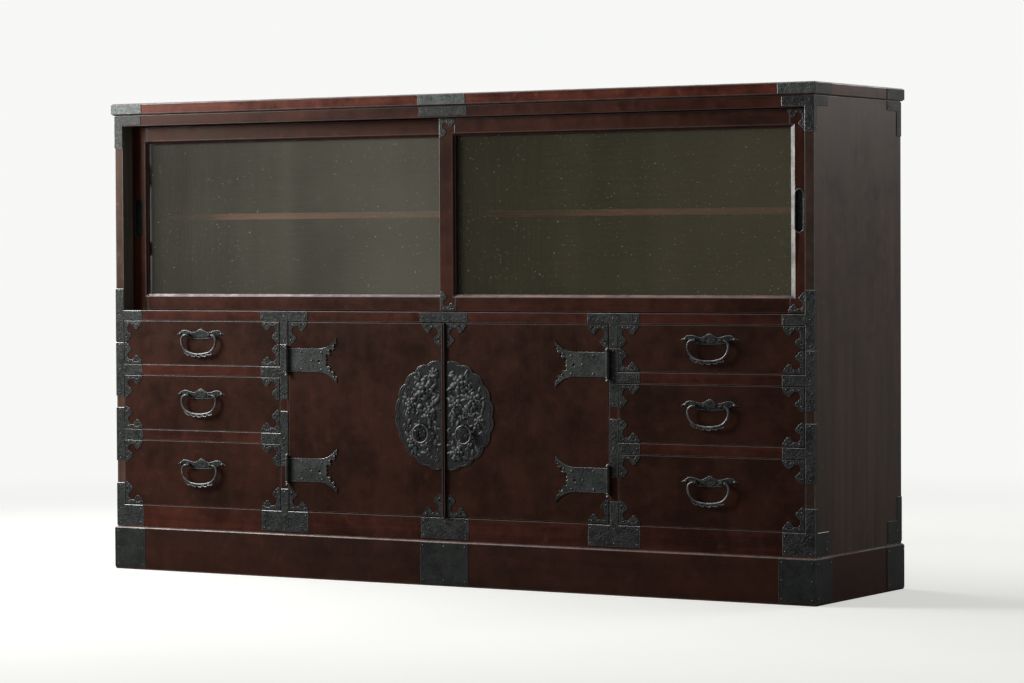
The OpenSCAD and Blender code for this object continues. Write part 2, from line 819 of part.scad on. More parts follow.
// A door whose outer stile is on the right; x0 is its left edge and y0 its face
module slide_ring(x0, y0) {
    x1 = x0 + door_w;
    centre_y = y0 + slide_t / 2;
    difference() {
        union() {
            board(x0, x1, y0, y0 + slide_t, slide_z0, slide_z1);
            board(x0, x1, centre_y - tongue_t / 2, centre_y + tongue_t / 2,
                mid_top - low_track + slide_lift, slide_top + high_track - 3);
        }
        board(x0 + stile_w, x1 - stile_w, y0 - past, y0 + slide_t + past, pane_z0, pane_z1);
        board(x0 + stile_w - glass_bite, x1 - stile_w + glass_bite,
            y0 + glass_back, y0 + glass_back + glass_t, pane_z0 - glass_bite, pane_z1 + glass_bite);
        intersection() {
            on_face(0, y0 + slide_t, 0, slide_t + past)
                translate([x0 + stile_w - glass_bevel, pane_z0 - glass_bevel])
                    square([door_w - 2 * (stile_w - glass_bevel), pane_z1 - pane_z0 + 2 * glass_bevel]);
            translate([0, 0, pane_z0 - glass_bevel]) linear_extrude(pane_z1 - pane_z0 + 2 * glass_bevel)
                bevel_section(x0 + stile_w, x1 - stile_w, y0);
            translate([x0, 0, 0]) rotate([90, 0, 90]) linear_extrude(door_w)
                mirror([1, -1, 0]) bevel_section(pane_z0, pane_z1, y0);
        }
        slot(x1 - stile_w / 2, y0 + pull_d, pull_z, pull_l - 2, pull_w - 2, pull_d + past);
    }
}

// The section of the opening for the glass between a and b, wider by the bevel at the face y0
module bevel_section(a, b, y0) {
    polygon([
        [a - glass_bevel, y0 - past], [b + glass_bevel, y0 - past], [b + glass_bevel, y0],
        [b, y0 + glass_bevel], [a, y0 + glass_bevel], [a - glass_bevel, y0]
    ]);
}

module slide_frame(x0, y0) {
    x1 = x0 + door_w;
    parts = [
        [x0, x0 + stile_w - glue, 0, body_top],
        [x1 - stile_w + glue, x1, 0, body_top],
        [x0 + stile_w, x1 - stile_w, 0, (pane_z0 + pane_z1) / 2],
        [x0 + stile_w, x1 - stile_w, (pane_z0 + pane_z1) / 2, body_top]
    ];
    for (p = parts) intersection() {
        slide_ring(x0, y0);
        board(p[0], p[1], y0 - past, y0 + slide_t + past, p[2], p[3]);
    }
}

module slide_glass(x0, y0) {
    air = 0.2;
    board(x0 + stile_w - glass_bite + air, x0 + door_w - stile_w + glass_bite - air,
        y0 + glass_back + air / 2, y0 + glass_back + glass_t - air / 2,
        pane_z0 - glass_bite + air / 2, pane_z1 + glass_bite - air);
}

// The lining of the finger pull, with a thin flange on the face of the stile
module finger_pull(x0, y0) {
    x = x0 + door_w - stile_w / 2;
    difference() {
        union() {
            slot(x, y0 + pull_d, pull_z, pull_l - 2, pull_w - 2, pull_d);
            slot(x, y0, pull_z, pull_l, pull_w, 0.8);
        }
        slot(x, y0 + pull_d - pull_wall, pull_z,
            pull_l - 2 - 2 * pull_wall, pull_w - 2 - 2 * pull_wall, pull_d);
    }
}

right_slide_x = inner_half - slide_side - door_w;
back_door_y = slide_back + slide_t + slide_pass;

module right_slide_frame() {
    color(frame_red) home() slide_frame(right_slide_x, slide_back);
}

module right_slide_glass() {
    color(clear_glass) home() slide_glass(right_slide_x, slide_back);
}

module right_slide_iron() {
    inset = 2;
    size = 41;
    color(iron) home() {
        finger_pull(right_slide_x, slide_back);
        for (sx = [-1, 1], sz = [-1, 1])
            corner_plate(sx > 0 ? right_slide_x + inset : right_slide_x + door_w - inset,
                sz > 0 ? slide_z0 + inset : slide_z1 - inset, sx, sz, slide_back, size);
    }
}

module left_slide_frame() {
    color(frame_red) home() sided(left) slide_frame(right_slide_x, back_door_y);
}

module left_slide_glass() {
    color(clear_glass) home() sided(left) slide_glass(right_slide_x, back_door_y);
}

module left_slide_pull() {
    color(iron) home() sided(left) finger_pull(right_slide_x, back_door_y);
}

top_board();
side_board(left);  // left_side
side_board(right);  // right_side
top_rail();
mid_board();
bottom_rail();
bottom_board();
divider(left);  // left_divider
divider(right);  // right_divider
drawer_rails();
drawer_runners();
upper_partition();
shelves();
shelf_pegs();
back_panels();
plinth();
top_plates();
frame_plates();
plinth_plates();
hinge_leaves();
door_catches();
left_slide_frame();
left_slide_glass();
left_slide_pull();
right_slide_frame();
right_slide_glass();
right_slide_iron();
left_door_panel();
door_iron(left, -meeting_x + batten_w);  // left_door_iron
medallion(left, -meeting_x + batten_w + plate_trim);  // left_medallion
ring(left);  // left_ring
meeting_batten();
right_door_panel();
door_iron(right, right_meeting_x);  // right_door_iron
medallion(right, right_meeting_x + plate_trim);  // right_medallion
ring(right);  // right_ring
drawer_front(left, low);  // left_low_front
drawer_box(left, low);  // left_low_box
drawer_iron(left, low);  // left_low_iron
drawer_bail(left, low);  // left_low_bail
drawer_front(left, middle);  // left_middle_front
drawer_box(left, middle);  // left_middle_box
drawer_iron(left, middle);  // left_middle_iron
drawer_bail(left, middle);  // left_middle_bail
drawer_front(left, high);  // left_high_front
drawer_box(left, high);  // left_high_box
drawer_iron(left, high);  // left_high_iron
drawer_bail(left, high);  // left_high_bail
drawer_front(right, low);  // right_low_front
drawer_box(right, low);  // right_low_box
drawer_iron(right, low);  // right_low_iron
drawer_bail(right, low);  // right_low_bail
drawer_front(right, middle);  // right_middle_front
drawer_box(right, middle);  // right_middle_box
drawer_iron(right, middle);  // right_middle_iron
drawer_bail(right, middle);  // right_middle_bail
drawer_front(right, high);  // right_high_front
drawer_box(right, high);  // right_high_box
drawer_iron(right, high);  // right_high_iron
drawer_bail(right, high);  // right_high_bail
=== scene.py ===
"""Sideboard with sliding glass doors, six drawers and a pair of hinged doors, dressed round its frame."""
import json
import math

import bmesh
import bpy
from bpy.props import FloatProperty, FloatVectorProperty, IntProperty, PointerProperty
from bpy.types import Operator, Panel, PropertyGroup
from mathutils import Matrix, Vector


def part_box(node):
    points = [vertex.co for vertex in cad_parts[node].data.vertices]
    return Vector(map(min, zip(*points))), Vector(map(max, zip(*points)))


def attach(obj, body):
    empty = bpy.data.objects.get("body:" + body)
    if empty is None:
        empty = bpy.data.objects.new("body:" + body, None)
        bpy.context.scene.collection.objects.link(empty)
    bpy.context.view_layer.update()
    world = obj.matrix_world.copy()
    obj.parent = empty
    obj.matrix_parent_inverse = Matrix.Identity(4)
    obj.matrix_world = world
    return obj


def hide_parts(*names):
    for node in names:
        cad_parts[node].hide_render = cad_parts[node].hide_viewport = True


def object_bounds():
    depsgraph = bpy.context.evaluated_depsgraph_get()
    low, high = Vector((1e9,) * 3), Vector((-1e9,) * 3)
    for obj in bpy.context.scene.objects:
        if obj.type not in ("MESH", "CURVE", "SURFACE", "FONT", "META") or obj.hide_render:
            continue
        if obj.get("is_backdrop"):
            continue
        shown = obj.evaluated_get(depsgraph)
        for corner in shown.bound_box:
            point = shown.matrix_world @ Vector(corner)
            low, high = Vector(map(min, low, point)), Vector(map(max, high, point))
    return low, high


bl_info = {
    "name": "Sideboard with iron plates",
    "version": (1, 0, 0),
    "blender": (4, 5, 0),
    "location": "View3D > Sidebar > Sideboard",
    "description": "Wood, ironwork and glass of a long sideboard, built round its packed frame",
    "category": "Object",
}

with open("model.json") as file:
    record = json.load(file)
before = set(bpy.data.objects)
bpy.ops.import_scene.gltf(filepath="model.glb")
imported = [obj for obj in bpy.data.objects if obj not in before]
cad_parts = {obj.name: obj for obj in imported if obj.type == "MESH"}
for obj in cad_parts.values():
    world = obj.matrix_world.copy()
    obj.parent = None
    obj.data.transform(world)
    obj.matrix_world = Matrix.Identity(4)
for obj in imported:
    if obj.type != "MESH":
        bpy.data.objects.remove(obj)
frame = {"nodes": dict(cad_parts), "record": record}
CAD_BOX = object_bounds()
NODES = frame["nodes"]
BODY_OF = {node: body for body, nodes in frame["record"]["behaviour"]["bodies"].items() for node in nodes}

MM = 0.001
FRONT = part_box("bottom_rail")[0].y
SIDES = {"left": -1, "right": 1}

# Levels and places of the frame, in millimetres from the floor and from the middle
OPEN_Z = {"low": 149.0, "middle": 323.0, "high": 472.0}
OPEN_H = {"low": 150.0, "middle": 125.0, "high": 101.0}
RAIL_H = 24.0
INNER_HALF = 872.5
BODY_HALF = 894.5
DIVIDER_OUT = 434.5
DIVIDER_IN = 412.5
DRAWER_X = 653.5
HANDLE_Z = {"low": 227.5, "middle": 386.5, "high": 523.0}
DRAWERS = [(f"{side}_{level}", sign * DRAWER_X, level) for side, sign in SIDES.items() for level in OPEN_Z]
PLATE = 1.2
HINGE_Z = (242.0, 487.0)
# X in metres of a painted bright line on the left pane: painted reflection
LEFT_PANE_X = -0.8295

# The round iron: height of its middle, place and height of its ring, places of its straight edges
MEDAL_Z = 371.0
RING_X = 55
RING_Z = 335
MEDAL_EDGE = {"left": 5.5, "right": 6.5}

# Rows of nails in the top's edge, on the plinth, over the glass doors and under them, in millimetres
TOP_NAILS = 1056.8
TOP_FRONT = -6.7
PLINTH_FRONT = -5.2
RAIL_NAILS = 1031
MID_NAILS = 584.5

# Distance in metres under which two verts are one, and the place of a board's worn edges in its materials
CLOSE = 0.00002
ARRIS = 3


def at(x, y, z):
    """A point in metres from millimetres: X from the middle, Y back from the rails' front, Z up."""
    return Vector((x * MM, FRONT + y * MM, z * MM))


def length(name, description, default, most):
    """A size that a user may change."""
    return FloatProperty(name=name, description=description, default=default, min=0.0, max=most,
                         precision=5, unit="LENGTH")


def colour(name, description, default):
    """A colour that a user may change."""
    return FloatVectorProperty(name=name, description=description, default=default, size=3, min=0.0, max=1.0,
                               subtype="COLOR")


class SideboardSizes(PropertyGroup):
    """Sizes of the small shapes that the boards and the ironwork are finished with."""
    board_ease: length("Board edge", "Width of the worn edges of the frame boards", 0.0014, 0.003)
    panel_ease: length("Panel edge", "Width of the worn edges of drawer fronts and doors", 0.0011, 0.003)
    inner_ease: length("Inner edge", "Width of the eased edges of the boards inside", 0.0008, 0.002)
    plate_ease: length("Plate edge", "Width of the filed edges of the iron plates", 0.0008, 0.0009)
    scallop_ease: length("Scallop edge", "Width of the filed edges of the scalloped plates", 0.0005, 0.0006)
    nail_r: length("Nail radius", "Radius of the heads of the small nails", 0.0019, 0.003)
    nail_h: length("Nail height", "Height of the heads of the small nails", 0.0011, 0.002)
    bail_r: length("Bail radius", "Radius of the wire of the drawer bails", 0.0026, 0.0035)
    nub_drop: length("Nub drop", "Distance of the nubs under a bail's middle line", 0.0064, 0.0076)
    relief_edge: length("Relief edge", "Radius of the raised edges of the handle plates", 0.0009, 0.002)
    nubs: IntProperty(name="Nubs", description="Number of pierced nubs under a bail's belly",
                      default=5, min=1, max=6)


class SideboardColours(PropertyGroup):
    """Colours of wood, iron and glass."""
    frame_dark: colour("Frame, dark", "Darkest tone of the red frame boards", (0.021, 0.0066, 0.0046))
    frame_red: colour("Frame, red", "Reddest tone of the frame boards", (0.083, 0.0205, 0.0122))
    panel_dark: colour("Panel, dark", "Darkest tone of the drawer fronts and doors", (0.0175, 0.0053, 0.0031))
    panel_red: colour("Panel, red", "Reddest tone of the drawer fronts and doors", (0.045, 0.0112, 0.0056))
    side_dark: colour("Side, dark", "Darkest tone of the two side boards", (0.026, 0.0132, 0.0086))
    side_brown: colour("Side, brown", "Lightest tone of the two side boards", (0.084, 0.043, 0.029))
    # The worn edges' light tone is both wear and painted highlight
    arris: colour("Worn edge", "Tone of the worn edges of the lacquered boards", (0.13, 0.070, 0.060))
    inner: colour("Inside", "Tone of the boards inside", (0.17, 0.075, 0.05))
    drawer: colour("Drawer wood", "Tone of the plain drawer sides", (0.50, 0.35, 0.22))
    iron: colour("Iron", "Tone of the blackened iron", (0.0305, 0.034, 0.0325))
    # The rubbed edges' light tone is both wear and painted highlight
    iron_edge: colour("Iron edge", "Tone of the rubbed edges of the iron", (0.34, 0.35, 0.36))
    back: colour("Back", "Tone of the grey boards behind the glass and at the back", (0.16, 0.14, 0.11))
    shelf: colour("Shelf", "Tone of the shelves", (0.86, 0.31, 0.18))
    glass: colour("Glass", "Tone of the old glass and the dust on it", (0.100, 0.094, 0.074))
    floor: colour("Floor", "Tone of the studio floor", (0.60, 0.60, 0.59))


# Every finished material, by its name
MATERIALS = {}


class Wire:
    """A socket of a node: arithmetic on it adds the nodes that work it out."""

    def __init__(self, finish, socket):
        self.finish = finish
        self.socket = socket

    def work(self, operation, *values):
        """Adds a Math node that works on values."""
        return self.finish.add("Math", dict(enumerate(values)), operation=operation)

    def __add__(self, other):
        return self.work("ADD", self, other)

    def __radd__(self, other):
        return self.work("ADD", other, self)

    def __sub__(self, other):
        return self.work("SUBTRACT", self, other)

    def __rsub__(self, other):
        return self.work("SUBTRACT", other, self)

    def __mul__(self, other):
        return self.work("MULTIPLY", self, other)

    def __rmul__(self, other):
        return self.work("MULTIPLY", other, self)

    def __abs__(self):
        return self.work("ABSOLUTE", self)


class Finish:
    """A material, or the world, built node by node on one kind of its coordinates."""

    def __init__(self, name, kinds=None, space="Object"):
        self.name = name
        self.owner = (bpy.data.materials if kinds is None else kinds).new(name)
        self.owner.use_nodes = True
        self.tree = self.owner.node_tree
        self.tree.nodes.clear()
        self.where = self.add("TexCoord", out=space)

    def add(self, kind, sockets=None, out=0, **settings):
        """Adds a shader node, makes its settings, then joins or sets its sockets, and returns an output."""
        node = self.tree.nodes.new("ShaderNode" + kind)
        for key, value in settings.items():
            setattr(node, key, value)
        for key, value in (sockets or {}).items():
            self.join(value, node.inputs[key])
        return Wire(self, node.outputs[out])

    def join(self, value, socket):
        """Links a wire to a socket, or sets the socket to a number or colour."""
        if isinstance(value, Wire):
            self.tree.links.new(value.socket, socket)
        else:
            socket.default_value = value

    def stretched(self, *scale):
        """The coordinates scaled on X, Y and Z: larger numbers give a finer pattern."""
        return self.add("Mapping", {"Vector": self.where, "Scale": scale}, vector_type="POINT")

    def noise(self, scale, detail, rough, bent=0.0, where=None):
        """Soft noise between 0 and 1."""
        return self.add("TexNoise", {"Vector": where or self.where, "Scale": scale, "Detail": detail,
                                     "Roughness": rough, "Distortion": bent})

    def between(self, value, low, high, first=0.0, last=1.0):
        """A smooth step of value from first, at low, to last, at high."""
        sockets = {"Value": value, "From Min": low, "From Max": high, "To Min": first, "To Max": last}
        return self.add("MapRange", sockets, interpolation_type="SMOOTHSTEP")

    def mix(self, factor, first, second):
        """A colour between two colours."""
        return self.add("Mix", {0: factor, 6: rgba(first), 7: rgba(second)}, 2, data_type="RGBA")

    def bump(self, height, depth, **under):
        """A normal raised by height, from 0 to 1, over depth in metres."""
        return self.add("Bump", {"Height": height, "Distance": depth, **under})

    def surface(self, **values):
        """Ends the material in a Principled shader, whose sockets are named with _ for a space."""
        sockets = {key.replace("_", " "): rgba(value) for key, value in values.items()}
        MATERIALS[self.name] = self.end(self.add("BsdfPrincipled", sockets))

    def end(self, shader, kind="Material"):
        """Joins the last shader to the output, and returns the material or the world."""
        self.join(shader, self.tree.nodes.new("ShaderNodeOutput" + kind).inputs["Surface"])
        return self.owner


def rgba(value):
    """A colour of three numbers gets its fourth; anything else stays."""
    if hasattr(value, "__len__") and len(value) == 3:
        return (*value, 1.0)
    return value


def scaled(tone, by):
    """A colour made lighter or darker."""
    return tuple(min(1.0, part * by) for part in tone)


# Scales of the broad and of the fine pattern of wood whose grain runs along X, Y or Z
GRAINS = {
    "x": ((1.6, 26.0, 26.0), (9.0, 330.0, 330.0)),
    "y": ((26.0, 1.6, 26.0), (330.0, 9.0, 330.0)),
    "z": ((26.0, 26.0, 1.6), (330.0, 330.0, 9.0)),
}


def lacquered(name, grain, dark, red, rough, tint, shine, streaks):
    """Old lacquer over softwood: clouds and bands of tone, fine grain, rubbed spots and dust."""
    finish = Finish(name)
    broad_scale, fine_scale = GRAINS[grain]
    broad = finish.noise(1.0, 4.0, 0.6, 0.6, finish.stretched(*broad_scale))
    fine = finish.noise(1.0, 3.0, 0.65, 0.2, finish.stretched(*fine_scale))
    cloud = finish.noise(9.0, 4.0, 0.62)
    blot = finish.noise(38.0, 3.0, 0.6, 0.4)
    speck = finish.between(finish.noise(700.0, 1.0, 0.5), 0.69, 0.77)
    tone = finish.between(broad * streaks + fine * 0.2 + cloud * (0.8 - streaks) + blot * 0.25, 0.46, 0.82)
    base = finish.mix(tone, dark, red)
    base = finish.mix(finish.between(fine, 0.55, 0.75, 0.0, 0.35), base, scaled(dark, 0.6))
    base = finish.mix(finish.between(blot, 0.62, 0.74, 0.0, 0.22), base, scaled(red, 2.2))
    finish.surface(
        Base_Color=finish.mix(speck * 0.2, base, (0.20, 0.17, 0.15)),
        Roughness=finish.between(cloud * 0.6 + blot * 0.4, 0.35, 0.65, rough - 0.07, rough + 0.09),
        Specular_IOR_Level=shine,
        Specular_Tint=tint,
        Normal=finish.bump(fine * 0.7 + blot * 0.3, 0.00014),
    )


def plain_wood(name, grain, tone):
    """Unlacquered softwood with darker growth lines and a few stains."""
    finish = Finish(name)
    broad_scale, fine_scale = GRAINS[grain]
    lines = finish.noise(1.0, 3.0, 0.5, 1.2, finish.stretched(*(part * 2.2 for part in broad_scale)))
    fine = finish.noise(1.0, 2.0, 0.6, 0.0, finish.stretched(*fine_scale))
    stain = finish.between(finish.noise(5.0, 4.0, 0.6), 0.5, 0.75)
    rings = finish.between(abs(lines - 0.5), 0.0, 0.09, 1.0, 0.0)
    base = finish.mix(rings * 0.5 + fine * 0.3, tone, scaled(tone, 0.55))
    finish.surface(
        Base_Color=finish.mix(stain * 0.35, base, scaled(tone, 0.6)),
        Roughness=finish.between(fine, 0.3, 0.7, 0.55, 0.72),
        Specular_IOR_Level=0.35,
        Normal=finish.bump(fine * 0.6 + lines * 0.4, 0.00018),
    )


def arris_wear_and_highlight(name, tone, rough=0.32, fade=None, tint=(1.0, 1.0, 1.0)):
    """The edge of a board, rubbed lighter and shinier unevenly, its lighter tone both wear and painted
    highlight, and darker over the X range of fade, where a painted highlight falls off.
    """
    finish = Finish(name)
    rub = finish.noise(34.0, 4.0, 0.6)
    base = finish.mix(finish.between(rub, 0.36, 0.62), scaled(tone, 0.35), tone)
    if fade:
        across = finish.add("SeparateXYZ", {0: finish.where})
        base = finish.mix(finish.between(across, *fade), base, scaled(tone, 0.12))
    finish.surface(
        Base_Color=base,
        Roughness=finish.between(rub, 0.3, 0.7, rough + 0.12, rough),
        Specular_IOR_Level=0.75,
        Specular_Tint=tint,
        Normal=finish.bump(finish.noise(420.0, 2.0, 0.5), 0.00008),
    )


def blackened_iron(name, tone, engraved, metal, rough):
    """Sheet iron, hammered and blackened: cold grey sheen, brown spots, and lines cut with a chisel."""
    finish = Finish(name)
    cloud = finish.noise(28.0, 4.0, 0.62)
    cut = finish.between(abs(finish.noise(48.0, 1.5, 0.45, 2.6) - 0.5), 0.025, 0.085, 1.0, 0.0)
    cells = finish.add("TexVoronoi", {"Vector": finish.where, "Scale": 150.0})
    punch = finish.between(cells, 0.16, 0.26, 1.0, 0.0) * finish.between(cloud, 0.46, 0.60)
    rust = finish.between(finish.noise(46.0, 5.0, 0.65), 0.58, 0.74)
    base = finish.mix(finish.between(cloud, 0.3, 0.7), scaled(tone, 0.62), scaled(tone, 1.35))
    base = finish.mix(rust * 0.35, base, (0.050, 0.034, 0.022))
    base = finish.mix(cut * engraved, base, scaled(tone, 3.6))
    dents = finish.bump(finish.noise(170.0, 2.0, 0.5), 0.00028)
    finish.surface(
        Base_Color=finish.mix(punch * engraved, base, scaled(tone, 3.2)),
        Metallic=metal,
        Roughness=finish.between(cloud, 0.3, 0.7, rough, rough + 0.14),
        Specular_IOR_Level=metal,
        Normal=finish.bump(punch - cut, 0.0004 * engraved, Normal=dents),
    )


def rubbed_iron(name, tone, rough):
    """Iron where hands and cloths have rubbed it: edges, bails, rings and nail heads."""
    finish = Finish(name)
    cloud = finish.noise(60.0, 3.0, 0.6)
    finish.surface(
        Base_Color=finish.mix(finish.between(cloud, 0.3, 0.66), scaled(tone, 0.4), tone),
        Metallic=0.7,
        Roughness=finish.between(cloud, 0.3, 0.7, rough, rough + 0.14),
        Specular_IOR_Level=0.5,
        Normal=finish.bump(finish.noise(380.0, 2.0, 0.5), 0.00012),
    )


def old_glass(name, tone, left, right, glint_x=None):
    """Window glass: dust in specks, and a lighter, denser film in streaks and clouds, dust and painted
    reflection, that rises to the right as painted reflection; with a painted bright broken line, a painted
    reflection, at the X given last.
    """
    finish = Finish(name)
    streak = finish.noise(1.0, 4.0, 0.6, 0.3, finish.stretched(9.0, 9.0, 0.8))
    cloud = finish.noise(3.2, 3.0, 0.6)
    speck = finish.between(finish.noise(240.0, 1.0, 0.4), 0.73, 0.78)
    spots = finish.between(finish.noise(60.0, 2.0, 0.5), 0.70, 0.78)
    across = finish.add("SeparateXYZ", {0: finish.where})
    # Dust in streaks and clouds with a rise to the right: dust and painted reflection
    dust = streak * 0.25 + cloud * 0.25 + finish.between(across, left, right, 0.0, 0.5)
    haze_and_reflection = finish.between(dust, 0.20, 0.80)
    base = finish.mix(haze_and_reflection, scaled(tone, 0.60), scaled(tone, 1.5))
    base = finish.mix(speck * 0.8 + spots * 0.15, base, (0.60, 0.60, 0.55))
    dense = haze_and_reflection + speck
    if glint_x is not None:
        # A painted reflection: a bright broken vertical line near the X given last, on colour and alpha
        broken = finish.noise(1.0, 1.0, 0.5, 0.0, finish.stretched(0.1, 0.1, 7.0))
        line = finish.between(across - glint_x, 0.0022, 0.0030, 1.0, 0.0) * finish.between(broken, 0.44, 0.47)
        base = finish.mix(line, base, (0.80, 0.80, 0.80))
        dense = dense + line * 4.0
    finish.surface(
        Base_Color=base,
        Roughness=finish.between(haze_and_reflection, 0.0, 1.0, 0.05, 0.11),
        Specular_IOR_Level=0.5,
        Alpha=finish.between(dense, 0.0, 1.2, 0.34, 0.52) + finish.between(dense, 2.0, 3.5, 0.0, 0.45),
        Normal=finish.bump(finish.noise(1.0, 2.0, 0.5, 0.0, finish.stretched(5.0, 5.0, 3.0)), 0.0005),
    )


# Lacquers: share of the dark and of the red tone, roughness, the sheen's tint and strength, share of streaks
LACQUERS = {
    "frame": {
        "frame": (1.0, 1.0, 0.40, (1.0, 0.66, 0.56), 0.16, 0.5),
        "frieze": (1.0, 1.0, 0.40, (1.0, 0.66, 0.56), 0.16, 0.5),
        # A lighter copy for the top's front: wear and painted light
        "worn": (2.3, 2.6, 0.34, (1.0, 0.70, 0.64), 0.13, 0.5),
        "sash": (1.0, 0.9, 0.40, (1.0, 0.72, 0.60), 0.16, 0.5),
        "foot": (1.0, 0.6, 0.50, (1.0, 0.80, 0.63), 0.17, 0.4),
    },
    "side": {
        "side": (1.0, 1.0, 0.40, (1.0, 0.88, 0.80), 0.20, 0.5),
        # A lighter copy for the left side's front: painted light from the left
        "dry": (1.9, 1.7, 0.44, (1.0, 0.88, 0.90), 0.15, 0.5),
    },
    "panel": {
        "panel": (1.0, 1.0, 0.42, (1.0, 0.70, 0.57), 0.18, 0.2),
        "batten": (0.6, 0.5, 0.46, (1.0, 0.76, 0.64), 0.08, 0.2),
    },
}
# Worn edges as shares of their tone, lighter both for wear and as painted highlight: of lacquered boards, and
# of bare boards
EDGES = {"frame": 1.0, "frieze": 0.3, "sash": 0.55, "foot": 1.4, "panel": 0.8, "batten": 0.5}
BARE_EDGES = {"inner": 1.5, "shelf": 1.3, "drawer": 1.1, "back": 1.2}
# Edges in colours of their own: tone, roughness, the range on X over which they fade, the sheen's tint. The
# beads under the glass and the pane's edge are painted highlight, the left bead's fading out to the right as
# its painted highlight falls off.
OWN_EDGES = {
    "side_arris": ((0.12, 0.115, 0.105),),
    "left_bead": ((0.60, 0.50, 0.53), 0.27, (-0.80, 0.20), (1.0, 0.84, 0.86)),
    "right_bead": ((0.17, 0.07, 0.06), 0.34, None, (0.90, 0.62, 0.60)),
    "pane_edge": ((0.50, 0.46, 0.43), 0.30),
}
# Blackened irons: share of the tone, depth of the cut lines, metal, roughness
IRONS = {
    "iron": (0.52, 0.5, 0.34, 0.39),
    "iron_strap": (1.05, 0.25, 0.4, 0.38),
    # A lighter iron for the plates on the top: painted sheen
    "iron_pale": (1.65, 0.25, 0.5, 0.36),
    # A darker iron for the plinth, the sides of the body and the pull in its recess: painted shade
    "iron_low": (0.66, 0.15, 0.18, 0.48),
    "iron_plain": (1.0, 0.1, 0.5, 0.34),
    "iron_dark": (0.46, 0.6, 0.26, 0.43),
    "iron_disc": (0.42, 0.2, 0.26, 0.43),
}
DARK_IRONS = ("iron_dark", "iron_disc", "iron_low")
# Rubbed irons: share of the tone, roughness
RUBBED_IRONS = {
    # The edges' light tone is both rubbed metal and painted highlight
    "iron_edge": (1.0, 0.30),
    "iron_dark_edge": (0.5, 0.30),
    "iron_wire": (0.58, 0.27),
    "iron_nail": (0.5, 0.30),
    "iron_relief": (0.25, 0.40),
}


def prepare_finishes(colours):
    """Makes every material once."""
    tones = {
        "frame": (colours.frame_dark, colours.frame_red),
        "side": (colours.side_dark, colours.side_brown),
        "panel": (colours.panel_dark, colours.panel_red),
    }
    for grain in GRAINS:
        for wood, families in LACQUERS.items():
            dark, red = tones[wood]
            for family, (dark_by, red_by, *look) in families.items():
                lacquered(f"{family}_{grain}", grain, scaled(dark, dark_by), scaled(red, red_by), *look)
        for family in BARE_EDGES:
            plain_wood(f"{family}_{grain}", grain, getattr(colours, family))
    for family, share in EDGES.items():
        arris_wear_and_highlight(family + "_arris", scaled(colours.arris, share))
    for family, share in BARE_EDGES.items():
        arris_wear_and_highlight(family + "_arris", scaled(getattr(colours, family), share), 0.5)
    for name, look in OWN_EDGES.items():
        arris_wear_and_highlight(name, *look)
    for name, (share, *look) in IRONS.items():
        blackened_iron(name, scaled(colours.iron, share), *look)
    for name, (share, rough) in RUBBED_IRONS.items():
        rubbed_iron(name, scaled(colours.iron_edge, share), rough)
    # The left pane is lighter than the right: painted reflection
    old_glass("left_glass", scaled(colours.glass, 1.42), -1.10, 0.30, LEFT_PANE_X)
    warm = tuple(part * share for part, share in zip(colours.glass, (1.12, 1.04, 0.80)))
    old_glass("right_glass", warm, -0.40, 1.20)


def take(piece):
    """Leaves edit mode and makes piece the one object that is selected and worked on."""
    if bpy.context.mode != "OBJECT":
        bpy.ops.object.mode_set(mode="OBJECT")
    bpy.ops.object.select_all(action="DESELECT")
    piece.select_set(True)
    bpy.context.view_layer.objects.active = piece
    return piece


def edit(piece):
    """Opens piece in edit mode with nothing selected."""
    take(piece)
    bpy.ops.object.mode_set(mode="EDIT")
    bpy.ops.mesh.select_all(action="DESELECT")


def done():
    """Goes back to object mode."""
    bpy.ops.object.mode_set(mode="OBJECT")


def pick(kind, test):
    """Selects the verts, edges or faces that pass test in the mesh being edited, and counts them."""
    bpy.ops.mesh.select_all(action="DESELECT")
    bpy.ops.mesh.select_mode(type=kind[:-1].upper())
    shape = bmesh.from_edit_mesh(bpy.context.object.data)
    chosen = [part for part in getattr(shape, kind) if test(part)]
    for part in chosen:
        part.select_set(True)
    shape.select_flush_mode()
    bmesh.update_edit_mesh(bpy.context.object.data)
    return len(chosen)


def everything():
    """Selects the whole mesh being edited."""
    bpy.ops.mesh.select_all(action="SELECT")


def shift(by):
    """Moves what is selected."""
    bpy.ops.transform.translate(value=by)


def stretch(by, around=(0, 0, 0)):
    """Scales what is selected about a point."""
    bpy.ops.transform.resize(value=by, center_override=around)


def merge(distance):
    """Makes one of selected verts that are closer than distance."""
    bpy.ops.mesh.remove_doubles(threshold=distance)


def face_out():
    """Turns the selected faces outwards."""
    bpy.ops.mesh.normals_make_consistent(inside=False)


def cut_away(spot, way):
    """Cuts the mesh being edited at a plane, deletes what lies beyond it and selects the rest."""
    everything()
    bpy.ops.mesh.bisect(plane_co=spot, plane_no=way, clear_outer=True)
    everything()


def sweep(steps, turn, x, z):
    """Spins what is selected, in steps, about an axis along Y."""
    bpy.ops.mesh.spin(steps=steps, angle=turn, center=(x, 0, z), axis=(0, 1, 0))


def show(piece):
    """Puts a new object into the scene."""
    bpy.context.scene.collection.objects.link(piece)
    return piece


def added():
    """The object that an operator has just added, with its place and turn put into its mesh."""
    bpy.ops.object.transform_apply(location=True, rotation=True, scale=True)
    return bpy.context.object


def wear(piece, *names):
    """Gives a piece its materials, by their names here."""
    piece.data.materials.clear()
    for name in names:
        piece.data.materials.append(MATERIALS[name])
    return piece


